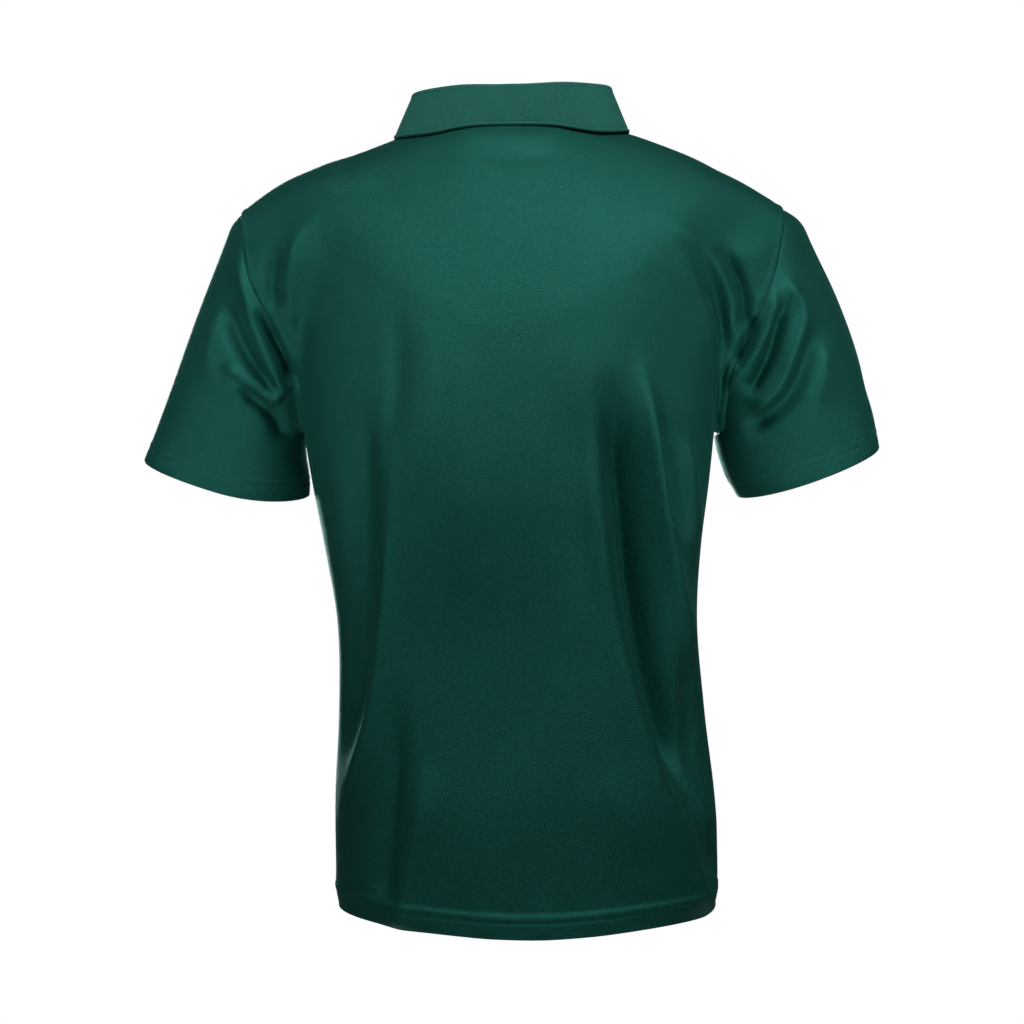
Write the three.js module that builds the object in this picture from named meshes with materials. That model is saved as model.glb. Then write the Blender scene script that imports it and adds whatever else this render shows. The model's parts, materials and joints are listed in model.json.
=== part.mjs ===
// A short-sleeved polo shirt of smooth knit, filled out as if worn, with nobody inside it.
// Millimetres, +Z up. The front faces -Y and the wearer's left side is +X. The origin is the middle of
// the neck, level with the neck ends of the shoulder seams, where the shirt hangs from the shoulders.
// Every cut piece is one closed wall: front, back, two sleeves, a knitted collar, and the two bands of
// the front opening with three buttons.

import * as THREE from "three";

// Cloth
const CLOTH = 1.8;
const HEM_CLOTH = 2.8;
const HEM_DEPTH = 21;
const HEM_STEP = 1.5;
const BAND_CLOTH = 1.8;
const COLLAR_CLOTH = 2.2;
const SEAM_GAP = 0.3;

// Body, seen from above as a row of rounded sections. half: half the width. lean: how far the section's
// middle is to the wearer's left. back, front: depth either side of the side seams. power: 2 is an
// ellipse, more is squarer.
const SECTIONS = [
  { z: -760, half: 171, lean: -14, back: 113, front: 110, power: 2.3 },
  { z: -690, half: 170, lean: -14, back: 113, front: 110, power: 2.3 },
  { z: -591, half: 168.5, lean: -11.5, back: 112, front: 110, power: 2.3 },
  { z: -510, half: 162.5, lean: -8.5, back: 108, front: 110, power: 2.3 },
  { z: -430, half: 160.5, lean: -4.5, back: 108, front: 113, power: 2.35 },
  { z: -362, half: 168.5, lean: -0.5, back: 114, front: 119, power: 2.4 },
  { z: -320, half: 175, lean: 1, back: 119, front: 124, power: 2.4 },
  { z: -250, half: 184, lean: 3, back: 124, front: 128, power: 2.4 },
  { z: -170, half: 193, lean: 2, back: 126, front: 130, power: 2.4 },
  { z: -106, half: 200, lean: 0, back: 126, front: 130, power: 2.4 },
  { z: -50, half: 222, lean: 0, back: 126, front: 130, power: 2.4 },
  { z: 40, half: 240, lean: 0, back: 126, front: 130, power: 2.4 },
];

// The line along the top of the shoulders, from the middle of the neck outwards. left, right: its height
// over the wearer's left and right side. y: how far it lies behind the side seams.
const RIDGE = [
  { x: 0, left: 11, right: 11, y: 40 },
  { x: 40, left: 10, right: 11, y: 34 },
  { x: 80, left: 4, right: 7, y: 12 },
  { x: 107, left: -5, right: 1, y: 4 },
  { x: 140, left: -17, right: -11, y: 2 },
  { x: 170, left: -27, right: -24.5, y: 2 },
  { x: 200, left: -43.5, right: -42.5, y: 4 },
  { x: 225, left: -61, right: -60, y: 6 },
  { x: 250, left: -85, right: -84, y: 8 },
  { x: 320, left: -157, right: -157, y: 8 },
];

// How the top of the body rounds over from that line to the back and to the chest.
const OVER = {
  back: { foot: -170, reach: 127, power: 2 },
  front: { foot: -200, reach: 131, power: 1.6 },
};
const RIDGE_TURN = 60;
const OVER_SLOPE = 0.8;
const OVER_ROUNDING = 34;

// Sleeves. joint and cuff are the ends of the sleeve's middle line. cap: how far the top rounds over
// above the joint.
const SLEEVES = {
  left: { joint: [186, 8, -112], cuff: [262, -32, -311], cap: 46, tilt: 17, rise: 11 },
  right: { joint: [-194, 8, -112], cuff: [-268, -32, -301], cap: 46, tilt: 20, rise: 2 },
};
// Half widths of the sleeve along its length, from the joint at 0 to the hem at 1, for the wearer's left
// and right arm. out: away from the body. in: to the body. deep: to front and back.
const SLEEVE_SECTIONS = [
  { t: -0.4, leftOut: 73, leftIn: 66, rightOut: 73, rightIn: 66, deep: 64 },
  { t: 0, leftOut: 73, leftIn: 66, rightOut: 74, rightIn: 66, deep: 64 },
  { t: 0.33, leftOut: 73, leftIn: 62, rightOut: 79, rightIn: 64, deep: 60 },
  { t: 0.63, leftOut: 72, leftIn: 56, rightOut: 78, rightIn: 66, deep: 55 },
  { t: 0.74, leftOut: 72, leftIn: 62.5, rightOut: 75, rightIn: 71, deep: 51 },
  { t: 0.85, leftOut: 72, leftIn: 75, rightOut: 73, rightIn: 72.5, deep: 48 },
  { t: 1, leftOut: 72, leftIn: 83, rightOut: 67, rightIn: 68.5, deep: 45 },
  { t: 1.3, leftOut: 72, leftIn: 83, rightOut: 67, rightIn: 68.5, deep: 45 },
];

// How softly sleeve and body run into each other: tight in the armpit, broad over the shoulder. Below
// the armpit they part: each is drawn as if the other were further off by this much for each millimetre.
const MERGE = { low: 12, high: 40, lowZ: -175, highZ: -85 };
const PART = { z: -262, rate: 1.2 };

// The armhole seam lies in an upright curtain that is x wide at the height z.
const ARMHOLE = [
  { z: -30, x: 243 },
  { z: -66, x: 242 },
  { z: -100, x: 237 },
  { z: -135, x: 228 },
  { z: -165, x: 214 },
  { z: -193, x: 201 },
  { z: -225, x: 194 },
  { z: -262, x: 190 },
  { z: -320, x: 190 },
];
const ARMHOLE_MIDDLE = { y: 2, z: -165 };

// Neck seam, seen from above, and the shoulder seam's distance in front of the side seams.
const NECK = { half: 80, sideY: 2, backY: 55, frontY: -66, power: 2.1 };
const SHOULDER_SEAM_Y = -6;

// The hem is lowest behind and a little higher at the side seams.
const HEM = { side: -690, back: -705, front: -700, power: 1.2 };

// Front opening
const OPENING = { half: 15, depth: 150 };
const BAND = { overlap: 1.5, lift: 0.35, foot: 6 };
const BUTTON = { radius: 5.75, thick: 2.6, rim: 0.6, dish: 3.6, seat: 0.3, first: 19, pitch: 45, count: 3 };

// Collar, by place round the neck from the front end at 0 to the middle of the back at 1. stand: from
// neck seam to fold. lean: how far the fold lies outside the seam. edgeX, edgeY: where the loose edge
// lies on the shirt, seen from above. lift: how far it stands off the shirt.
const COLLAR = [
  { at: 0, stand: 19, lean: 6, edgeX: 32, edgeY: -94, lift: 0 },
  { at: 0.12, stand: 22, lean: 8, edgeX: 58, edgeY: -76, lift: 0 },
  { at: 0.3, stand: 29, lean: 9, edgeX: 92, edgeY: -42, lift: 0 },
  { at: 0.5, stand: 35, lean: 9, edgeX: 107, edgeY: 2, lift: 0 },
  { at: 0.62, stand: 35, lean: 8.5, edgeX: 101, edgeY: 32, lift: 2 },
  { at: 0.78, stand: 33.5, lean: 7, edgeX: 71, edgeY: 58, lift: 4 },
  { at: 0.9, stand: 31.5, lean: 5.5, edgeX: 32, edgeY: 68, lift: 1.5 },
  { at: 1, stand: 31, lean: 5, edgeX: 0, edgeY: 70, lift: 0 },
];
const COLLAR_FRONT_X = 1.5;
const COLLAR_TILT = 0.022;
const COLLAR_CLEAR = 1.4;
const COLLAR_SEAT = 0.5;
const COLLAR_LEAN_FORTH = 1.3;
const COLLAR_OVER_BAND = { rise: 2.6, nearX: 19, farX: 28 };
const FOLD_RADIUS = 2.4;
const FOLD_ANGLES = [1, 0.75, 0.5, 0.25].map((share) => share * Math.PI);

// How many cells each piece has.
const GRID = {
  sideRows: 17,
  armRows: 13,
  shoulder: 9,
  neck: 12,
  frontNeck: 5,
  bandHalf: 1,
  sleeveRows: 13,
  collarRound: 44,
  collarStand: 4,
  collarLeaf: 6,
  button: 20,
};

// Folds of the cloth. path: points [x, z] down the fold as seen from behind or in front. height: out of
// the cloth, or into it where negative. left, right: half widths on the wearer's left and right of the
// path. starts, ends: the shares of the length over which it fades in and out.
const FOLDS = [
  { face: "back",
    path: [[-57, -172], [-70, -259], [-83, -393], [-104, -488], [-134, -580], [-162, -668], [-167, -700]],
    height: 6, left: 22, right: 12, starts: 0.35, ends: 0.05 },
  { face: "back", path: [[-84, -210], [-98, -309], [-112, -396], [-134, -482], [-156, -568], [-170, -640]],
    height: -6, left: 12, right: 14, starts: 0.3, ends: 0.25 },
  { face: "back", path: [[-106, -186], [-111, -233], [-121, -310], [-135, -393], [-150, -450], [-166, -524]],
    height: 5, left: 12, right: 12, starts: 0.25, ends: 0.3 },
  { face: "back",
    path: [[92, -190], [101, -283], [105, -378], [110, -456], [122, -526], [141, -587], [156, -640]],
    height: 5, left: 11, right: 24, starts: 0.3, ends: 0.25 },
  { face: "back", path: [[113, -250], [121, -340], [125, -420], [133, -500], [148, -560]],
    height: -5, left: 16, right: 10, starts: 0.35, ends: 0.3 },
  { face: "back", path: [[70, -560], [84, -630], [91, -673], [94, -700]],
    height: 3, left: 14, right: 20, starts: 0.4, ends: 0.05 },
  { face: "back", path: [[-112, -86], [-160, -118], [-184, -160], [-184, -192]],
    height: 5, left: 18, right: 10, starts: 0.35, ends: 0.2 },
  { face: "back", path: [[-150, -96], [-180, -118], [-196, -150], [-198, -176]],
    height: -5, left: 10, right: 10, starts: 0.35, ends: 0.2 },
  { face: "back", path: [[170, -76], [186, -98], [192, -140], [190, -176]],
    height: 4, left: 9, right: 18, starts: 0.35, ends: 0.2 },
  { face: "back", path: [[236, -128], [224, -170], [208, -212], [196, -240]],
    height: 4, left: 9, right: 8, starts: 0.3, ends: 0.2 },
  { face: "back", path: [[242, -164], [226, -206], [204, -240]],
    height: -4.5, left: 9, right: 8, starts: 0.3, ends: 0.15 },
  { face: "back", path: [[-226, -156], [-220, -180], [-204, -210], [-187, -236]],
    height: 4, left: 8, right: 8, starts: 0.25, ends: 0.2 },
  { face: "back", path: [[-237, -166], [-226, -206], [-206, -236]],
    height: -4.5, left: 8, right: 8, starts: 0.3, ends: 0.15 },
  { face: "back", path: [[-249, -150], [-243, -196], [-230, -232], [-204, -256]],
    height: 4, left: 9, right: 12, starts: 0.3, ends: 0.2 },
  { face: "front", path: [[86, -240], [98, -330], [104, -420], [114, -520], [132, -620], [140, -700]],
    height: 5, left: 14, right: 22, starts: 0.35, ends: 0.05 },
  { face: "front", path: [[-92, -230], [-100, -330], [-108, -430], [-126, -540], [-150, -640], [-160, -700]],
    height: 5, left: 22, right: 14, starts: 0.35, ends: 0.05 },
  { face: "front", path: [[112, -300], [122, -380], [130, -470], [146, -560]],
    height: -4, left: 14, right: 10, starts: 0.35, ends: 0.3 },
  { face: "front", path: [[-118, -300], [-126, -390], [-138, -480], [-156, -570]],
    height: -4, left: 10, right: 14, starts: 0.35, ends: 0.3 },
  { face: "front", path: [[150, -120], [178, -150], [190, -190], [188, -220]],
    height: 4, left: 10, right: 18, starts: 0.35, ends: 0.2 },
  { face: "front", path: [[-150, -120], [-178, -150], [-190, -190], [-188, -220]],
    height: 4, left: 18, right: 10, starts: 0.35, ends: 0.2 },
  { face: "front", path: [[244, -150], [232, -196], [208, -236]],
    height: -4, left: 10, right: 9, starts: 0.3, ends: 0.15 },
  { face: "front", path: [[-250, -150], [-236, -196], [-210, -236]],
    height: -4, left: 9, right: 10, starts: 0.3, ends: 0.15 },
];
const FOLD_STEPS = 20;
// How far cloth has to face back or front to take a fold of that side, as a share of facing it squarely.
const FACE_TURN = { none: 0.05, full: 0.5 };

// Finishes
const KNIT_FINISH = { color: "#164b42", roughness: 0.75 };
const COLLAR_FINISH = { color: "#245a4e", roughness: 0.75 };
const BUTTON_FINISH = { color: "#1b4a40", roughness: 0.35 };

// Looking for the form's surface: the steps along a line and how often the last one is halved, and how
// points are drawn on to it.
const SEARCH = { step: 3, halvings: 24 };
const SEARCH_FROM = { armhole: 20, middle: 0, top: -110 };
const SEARCH_TO = { armhole: 180, top: 200, side: 400 };
const DRAW = { turns: 14, close: 1e-3, longest: 25, flattest: 0.05, probe: 0.6 };
const OVER_END = 0.9999;
const FORM_MIDDLE = 0.01;

// How many points each seam is worked out from.
const SEAM_POINTS = { armhole: 60, neck: 80, shoulder: 40, hem: 120, collar: 30 };

// Numbers
const clamp = (value, low, high) => Math.min(Math.max(value, low), high);
const mix = (a, b, share) => a + (b - a) * share;
const smooth = (low, high, value) => {
  const t = clamp((value - low) / (high - low), 0, 1);
  return t * t * (3 - 2 * t);
};

// One column of a table at a place between its rows, as a smooth curve through them.
function read(rows, place, column, at) {
  const last = rows.length - 1;
  const x = (i) => rows[i][place];
  const y = (i) => rows[i][column];
  const rising = x(last) > x(0);
  const v = rising ? clamp(at, x(0), x(last)) : clamp(at, x(last), x(0));
  let i = 0;
  while (i < last - 1 && (rising ? v > x(i + 1) : v < x(i + 1))) i += 1;
  const slope = (k) => {
    const a = Math.max(k - 1, 0);
    const b = Math.min(k + 1, last);
    return (y(b) - y(a)) / (x(b) - x(a));
  };
  const span = x(i + 1) - x(i);
  const t = (v - x(i)) / span;
  const t2 = t * t;
  const t3 = t2 * t;
  return (2 * t3 - 3 * t2 + 1) * y(i) + (t3 - 2 * t2 + t) * span * slope(i)
    + (3 * t2 - 2 * t3) * y(i + 1) + (t3 - t2) * span * slope(i + 1);
}

// The lesser of two distances with its corner rounded over a width, and the greater likewise.
function softLeast(a, b, width) {
  const h = Math.max(width - Math.abs(a - b), 0) / width;
  return Math.min(a, b) - (h * h * width) / 4;
}
const softMost = (a, b, width) => -softLeast(-a, -b, width);

// The worn form. Each function gives a point's distance outside it, negative inside.
function column(x, y, z) {
  const half = read(SECTIONS, "z", "half", z);
  const lean = read(SECTIONS, "z", "lean", z);
  const depth = read(SECTIONS, "z", y > 0 ? "back" : "front", z);
  const power = read(SECTIONS, "z", "power", z);
  const q = (Math.abs((x - lean) / half) ** power + Math.abs(y / depth) ** power) ** (1 / power);
  return q < FORM_MIDDLE ? -depth : Math.hypot(x - lean, y) * (1 - 1 / q);
}

function overTop(x, y, z) {
  const ridgeY = read(RIDGE, "x", "y", Math.abs(x));
  const ridgeZ = mix(
    read(RIDGE, "x", "right", Math.abs(x)),
    read(RIDGE, "x", "left", Math.abs(x)),
    smooth(-RIDGE_TURN, RIDGE_TURN, x),
  );
  const { foot, reach, power } = y > ridgeY ? OVER.back : OVER.front;
  const run = y > ridgeY ? reach - ridgeY : reach + ridgeY;
  const share = Math.min(Math.abs(y - ridgeY) / run, OVER_END);
  const height = (ridgeZ - foot) * (1 - share ** power) ** (1 / power);
  return (z - foot - height) * OVER_SLOPE;
}

const torso = (x, y, z) => softMost(column(x, y, z), overTop(x, y, z), OVER_ROUNDING);

function sleeveFrame(side) {
  const { joint, cuff, cap } = SLEEVES[side];
  const start = new THREE.Vector3(...joint);
  const end = new THREE.Vector3(...cuff);
  const length = start.distanceTo(end);
  const down = end.clone().sub(start).divideScalar(length);
  const back = new THREE.Vector3(0, 1, 0).addScaledVector(down, -down.y).normalize();
  const out = new THREE.Vector3().crossVectors(down, back);
  if (out.x > 0 !== (side === "left")) out.negate();
  return { side, start, end, length, down, back, out, cap };
}
const FRAMES = { left: sleeveFrame("left"), right: sleeveFrame("right") };

function sleeveTube(frame, x, y, z) {
  const from = new THREE.Vector3(x, y, z).sub(frame.start);
  const along = from.dot(frame.down);
  const u = from.dot(frame.out);
  const w = from.dot(frame.back);
  const t = along / frame.length;
  const wide = read(SLEEVE_SECTIONS, "t", frame.side + (u > 0 ? "Out" : "In"), t);
  const deep = read(SLEEVE_SECTIONS, "t", "deep", t);
  const above = Math.min(along, 0);
  const q = Math.sqrt((u / wide) ** 2 + (w / deep) ** 2 + (above / frame.cap) ** 2);
  return q < FORM_MIDDLE ? -deep : Math.hypot(u, w, above) * (1 - 1 / q);
}

// The cloth's form for a piece, "body" or "sleeve".
function form(piece, x, y, z) {
  const width = mix(MERGE.low, MERGE.high, smooth(MERGE.lowZ, MERGE.highZ, z));
  const side = x > 0 ? "left" : "right";
  const apart = Math.max(PART.z - z, 0) * PART.rate;
  const body = torso(x, y, z) + (piece === "sleeve" ? apart : 0);
  const sleeve = sleeveTube(FRAMES[side], x, y, z) + (piece === "body" ? apart : 0);
  return softLeast(body, sleeve, width);
}

function outward(piece, p) {
  const e = DRAW.probe;
  return new THREE.Vector3(
    form(piece, p.x + e, p.y, p.z) - form(piece, p.x - e, p.y, p.z),
    form(piece, p.x, p.y + e, p.z) - form(piece, p.x, p.y - e, p.z),
    form(piece, p.x, p.y, p.z + e) - form(piece, p.x, p.y, p.z - e),
  ).divideScalar(2 * e);
}

// Moves a point on to the form, straight out from it. holdX keeps its x.
function ontoForm(piece, point, holdX = false) {
  const p = point.clone();
  for (let turn = 0; turn < DRAW.turns; turn += 1) {
    const off = form(piece, p.x, p.y, p.z);
    if (Math.abs(off) < DRAW.close) break;
    const g = outward(piece, p);
    if (holdX) g.x = 0;
    const step = off / Math.max(g.lengthSq(), DRAW.flattest);
    p.addScaledVector(g, -clamp(step, -DRAW.longest, DRAW.longest));
  }
  return p;
}

// The first of the places place(r), with r from near to far, that is outside the form.
function firstOutside(place, near, far) {
  const outside = (r) => form("body", ...place(r).toArray()) > 0;
  let high = near;
  while (high < far && !outside(high)) high += SEARCH.step;
  let low = high - SEARCH.step;
  for (let turn = 0; turn < SEARCH.halvings; turn += 1) {
    const middle = (low + high) / 2;
    if (outside(middle)) high = middle;
    else low = middle;
  }
  return place(high);
}

// Folds
const FOLD_LINES = FOLDS.map((fold) => {
  const curve = new THREE.CatmullRomCurve3(fold.path.map(([x, z]) => new THREE.Vector3(x, 0, z)));
  return { ...fold, points: curve.getSpacedPoints(FOLD_STEPS) };
});

function foldAt(fold, p) {
  let best = { distance: Infinity, share: 0, side: 1 };
  for (let i = 0; i < FOLD_STEPS; i += 1) {
    const a = fold.points[i];
    const b = fold.points[i + 1];
    const [dx, dz] = [b.x - a.x, b.z - a.z];
    const t = clamp(((p.x - a.x) * dx + (p.z - a.z) * dz) / (dx * dx + dz * dz), 0, 1);
    const [ex, ez] = [p.x - a.x - t * dx, p.z - a.z - t * dz];
    const distance = Math.hypot(ex, ez);
    if (distance < best.distance) best = { distance, share: (i + t) / FOLD_STEPS, side: dx * ez - dz * ex };
  }
  const width = best.side > 0 ? fold.left : fold.right;
  const fade = smooth(0, fold.starts, best.share) * smooth(0, fold.ends, 1 - best.share);
  return fold.height * fade * Math.exp(-((best.distance / width) ** 2));
}

function foldHeight(p, normal) {
  const facing = { back: normal.y, front: -normal.y };
  let sum = 0;
  for (const fold of FOLD_LINES) {
    const turned = smooth(FACE_TURN.none, FACE_TURN.full, facing[fold.face]);
    if (turned > 0) sum += turned * foldAt(fold, p);
  }
  return sum;
}

// A place on the cloth: its point on the form, its normal and how far the folds lift it there.
function clothAt(piece, point) {
  const normal = outward(piece, point).normalize();
  return { base: point, normal, fold: foldHeight(point, normal) };
}
const lifted = (place, by) => place.base.clone().addScaledVector(place.normal, place.fold + by);

// Curves
function lengthsTo(points) {
  const made = [0];
  for (let i = 1; i < points.length; i += 1) made.push(made[i - 1] + points[i].distanceTo(points[i - 1]));
  return made;
}

function evenly(points, count) {
  const lengths = lengthsTo(points);
  const total = lengths.at(-1);
  const made = [];
  for (let k = 0; k <= count; k += 1) {
    const target = (total * k) / count;
    let i = 1;
    while (i < points.length - 1 && lengths[i] < target) i += 1;
    const share = (target - lengths[i - 1]) / (lengths[i] - lengths[i - 1]);
    made.push(points[i - 1].clone().lerp(points[i], share));
  }
  return made;
}

const span = (count, make) => Array.from({ length: count + 1 }, (_, i) => make(i / count, i));

// Half of the armhole seam, from the armpit over the back or the front to the shoulder seam.
function armhole(side, face) {
  const sign = side === "left" ? 1 : -1;
  const turn = face === "back" ? 1 : -1;
  const curtain = (y, z) => new THREE.Vector3(sign * read(ARMHOLE, "z", "x", z), y, z);
  const points = span(SEAM_POINTS.armhole, (share) => {
    const angle = Math.PI * (share - 0.5);
    const [forth, up] = [turn * Math.cos(angle), Math.sin(angle)];
    const place = (r) => curtain(ARMHOLE_MIDDLE.y + r * forth, ARMHOLE_MIDDLE.z + r * up);
    return firstOutside(place, SEARCH_FROM.armhole, SEARCH_TO.armhole);
  });
  return evenly(points, GRID.armRows);
}

const UP = new THREE.Vector3(0, 0, 1);
const onTop = (x, y) => firstOutside(
  (r) => new THREE.Vector3(x, y, SEARCH_FROM.top + r), SEARCH_FROM.middle, SEARCH_TO.top,
);

// The neck seam from the shoulder seam round to x = 0, or to the opening's edge in front.
function neckPlace(side, face, share) {
  const sign = side === "left" ? 1 : -1;
  const angle = (share * Math.PI) / 2;
  const rounded = (value) => value ** (2 / NECK.power);
  const x = sign * NECK.half * rounded(Math.cos(angle));
  const y = mix(NECK.sideY, face === "back" ? NECK.backY : NECK.frontY, rounded(Math.sin(angle)));
  return onTop(x, y);
}

function neckHalf(side, face, endX, count) {
  const points = span(SEAM_POINTS.neck, (share) => neckPlace(side, face, share))
    .filter((p) => Math.abs(p.x) >= endX - DRAW.close);
  if (endX > 0) {
    const last = points[points.length - 1];
    points.push(onTop(Math.sign(last.x) * endX, last.y));
  }
  return evenly(points, count);
}

function shoulderSeam(side) {
  const start = armhole(side, "back").at(-1);
  const end = neckPlace(side, "back", 0);
  const points = span(SEAM_POINTS.shoulder, (share) => {
    const x = mix(start.x, end.x, share);
    const y = mix(start.y, end.y, share) + SHOULDER_SEAM_Y * Math.sin(Math.PI * share);
    return onTop(x, y);
  });
  points[0] = start;
  return evenly(points, GRID.shoulder);
}

// Rows of a body piece up its side seam, with a row either side of the step above the hem.
function sideSeam(side) {
  const sign = side === "left" ? 1 : -1;
  const top = armhole(side, "back")[0];
  const place = (z) => {
    const lean = read(SECTIONS, "z", "lean", z);
    return firstOutside((r) => new THREE.Vector3(lean + sign * r, 0, z), SEARCH_FROM.middle, SEARCH_TO.side);
  };
  const above = HEM.side + HEM_DEPTH + HEM_STEP;
  const points = [place(HEM.side), place(HEM.side + HEM_DEPTH)];
  for (let row = 0; row <= GRID.sideRows - 2; row += 1) {
    points.push(place(mix(above, top.z, row / (GRID.sideRows - 2))));
  }
  points[points.length - 1] = top;
  return points;
}

function hemLine(face, count) {
  const turn = face === "back" ? 1 : -1;
  const points = span(SEAM_POINTS.hem, (share) => {
    const angle = Math.PI * share;
    const drop = Math.sin(angle);
    const z = mix(HEM.side, HEM[face], drop ** HEM.power);
    const lean = read(SECTIONS, "z", "lean", z);
    const place = (r) => new THREE.Vector3(lean + r * Math.cos(angle), r * turn * drop, z);
    return firstOutside(place, SEARCH_FROM.middle, SEARCH_TO.side);
  });
  return evenly(points, count);
}

const shares = (points) => lengthsTo(points).map((value, _, all) => value / all.at(-1));

// Rows of points between four edges, each a list of points, drawn on to the form. The side edges pull
// their neighbours along, less and less towards the middle. Held columns are straight from HELD_FROM of
// the height up.
const EDGE_PULL = 4;
const HELD_FROM = 0.6;
const EVENING = { passes: 12, share: 0.6, firstRow: 3 };
function filled({ bottom, top, left, right, holdColumns = () => false }) {
  const s = shares(bottom);
  const t = shares(left);
  const columns = bottom.length - 1;
  const rows = left.length - 1;
  const topShares = shares(top);
  const leftChord = t.map((share) => bottom[0].clone().lerp(top[0], share));
  const rightChord = t.map((share) => bottom[columns].clone().lerp(top[columns], share));
  const grid = span(rows, (_, j) => span(columns, (__, i) => {
    if (j === 0) return bottom[i].clone();
    if (j === rows) return top[i].clone();
    if (i === 0) return left[j].clone();
    if (i === columns) return right[j].clone();
    const across = mix(s[i], topShares[i], t[j]);
    const pull = [(1 - across) ** EDGE_PULL, across ** EDGE_PULL];
    const p = bottom[i].clone().lerp(top[i], t[j]);
    p.addScaledVector(left[j], pull[0]).addScaledVector(leftChord[j], -pull[0]);
    p.addScaledVector(right[j], pull[1]).addScaledVector(rightChord[j], -pull[1]);
    if (holdColumns(i, j)) p.x = mix(bottom[i].x, top[i].x, smooth(0, HELD_FROM, t[j]));
    return ontoForm("body", p, holdColumns(i, j));
  }));
  for (let pass = 0; pass < EVENING.passes; pass += 1) evenOut(grid, holdColumns);
  return grid;
}

// Moves each inner point of a grid above the hem towards the middle of its neighbours, along the form.
function evenOut(grid, holdColumns) {
  for (let j = EVENING.firstRow; j < grid.length - 1; j += 1) {
    for (let i = 1; i < grid[0].length - 1; i += 1) {
      const middle = new THREE.Vector3()
        .add(grid[j][i - 1]).add(grid[j][i + 1]).add(grid[j - 1][i]).add(grid[j + 1][i])
        .divideScalar(4);
      const held = holdColumns(i, j);
      if (held) middle.x = grid[j][i].x;
      grid[j][i] = ontoForm("body", grid[j][i].clone().lerp(middle, EVENING.share), held);
    }
  }
}

// Walls
function closed(points, faces) {
  const used = [...new Set(faces.flat())];
  const index = new Map(used.map((old, i) => [old, i]));
  let volume = 0;
  for (const [a, b, c] of faces) {
    volume += points[a].dot(new THREE.Vector3().crossVectors(points[b], points[c]));
  }
  const turned = volume < 0 ? faces.map(([a, b, c]) => [a, c, b]) : faces;
  const geometry = new THREE.BufferGeometry();
  const numbers = used.flatMap((i) => points[i].toArray());
  geometry.setAttribute("position", new THREE.Float32BufferAttribute(numbers, 3));
  geometry.setIndex(turned.flat().map((i) => index.get(i)));
  geometry.computeVertexNormals();
  return geometry;
}

// A closed wall between a grid of outer points and one of inner points. around: the last column joins
// the first. keep: which cells have cloth.
function wall(outer, inner, { around = false, keep = () => true } = {}) {
  const rows = outer.length;
  const columns = outer[0].length;
  const points = [...outer.flat(), ...inner.flat()];
  const at = (i, j, layer) => layer * rows * columns + j * columns + (around ? (i + columns) % columns : i);
  const cellColumns = around ? columns : columns - 1;
  const has = (i, j) => {
    if (j < 0 || j >= rows - 1) return false;
    if (!around && (i < 0 || i >= cellColumns)) return false;
    return keep(around ? (i + columns) % columns : i, j);
  };
  const faces = [];
  const quad = (a, b, c, d) => faces.push([a, b, c], [a, c, d]);
  for (let j = 0; j < rows - 1; j += 1) {
    for (let i = 0; i < cellColumns; i += 1) {
      if (!has(i, j)) continue;
      quad(at(i, j, 0), at(i + 1, j, 0), at(i + 1, j + 1, 0), at(i, j + 1, 0));
      quad(at(i, j, 1), at(i, j + 1, 1), at(i + 1, j + 1, 1), at(i + 1, j, 1));
      if (!has(i, j - 1)) quad(at(i, j, 0), at(i, j, 1), at(i + 1, j, 1), at(i + 1, j, 0));
      if (!has(i, j + 1)) quad(at(i, j + 1, 0), at(i + 1, j + 1, 0), at(i + 1, j + 1, 1), at(i, j + 1, 1));
      if (!has(i - 1, j)) quad(at(i, j, 0), at(i, j + 1, 0), at(i, j + 1, 1), at(i, j, 1));
      if (!has(i + 1, j)) quad(at(i + 1, j, 0), at(i + 1, j, 1), at(i + 1, j + 1, 1), at(i + 1, j + 1, 0));
    }
  }
  return closed(points, faces);
}

// Draws the sewn edges of a grid back from the seam by half of its gap.
function eased(grid, { sides = false, top = false, bottom = false }) {
  const rows = grid.length - 1;
  const columns = grid[0].length - 1;
  const toward = (p, q) => q.clone().sub(p).setLength(SEAM_GAP / 2);
  return grid.map((row, j) => row.map((p, i) => {
    const moved = p.clone();
    if (sides && i === 0) moved.add(toward(p, row[1]));
    if (sides && i === columns) moved.add(toward(p, row[columns - 1]));
    if (top && j === rows) moved.add(toward(p, grid[rows - 1][i]));
    if (bottom && j === 0) moved.add(toward(p, grid[1][i]));
    return moved;
  }));
}

// A wall of cloth on a grid of places, thick as the row asks.
function clothWall(places, { thick = () => CLOTH, ease, around, keep }) {
  const outer = places.map((row) => row.map((place) => lifted(place, 0)));
  const inner = places.map((row, j) => row.map((place) => lifted(place, -thick(j))));
  return wall(eased(outer, ease), eased(inner, ease), { around, keep });
}

const hemThick = (row) => (row < 2 ? HEM_CLOTH : CLOTH);

// Body pieces
function bodyEdges(face) {
  const neck = face === "back" ? backNeck() : frontNeck();
  const top = [
    ...shoulderSeam("left").slice(0, -1),
    ...neck,
    ...shoulderSeam("right").reverse().slice(1),
  ];
  return {
    bottom: hemLine(face, top.length - 1),
    top,
    left: [...sideSeam("left"), ...armhole("left", face).slice(1)],
    right: [...sideSeam("right"), ...armhole("right", face).slice(1)],
  };
}

function backNeck() {
  const [left, right] = ["left", "right"].map((side) => neckHalf(side, "back", 0, GRID.neck / 2));
  return [...left, ...right.reverse().slice(1)];
}

function frontNeck() {
  const left = neckHalf("left", "front", OPENING.half, GRID.frontNeck);
  const right = neckHalf("right", "front", OPENING.half, GRID.frontNeck).reverse();
  const middle = onTop(0, NECK.frontY);
  return [...left, middle, ...right];
}

const FRONT_MIDDLE = GRID.shoulder + GRID.frontNeck + GRID.bandHalf;

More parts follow.
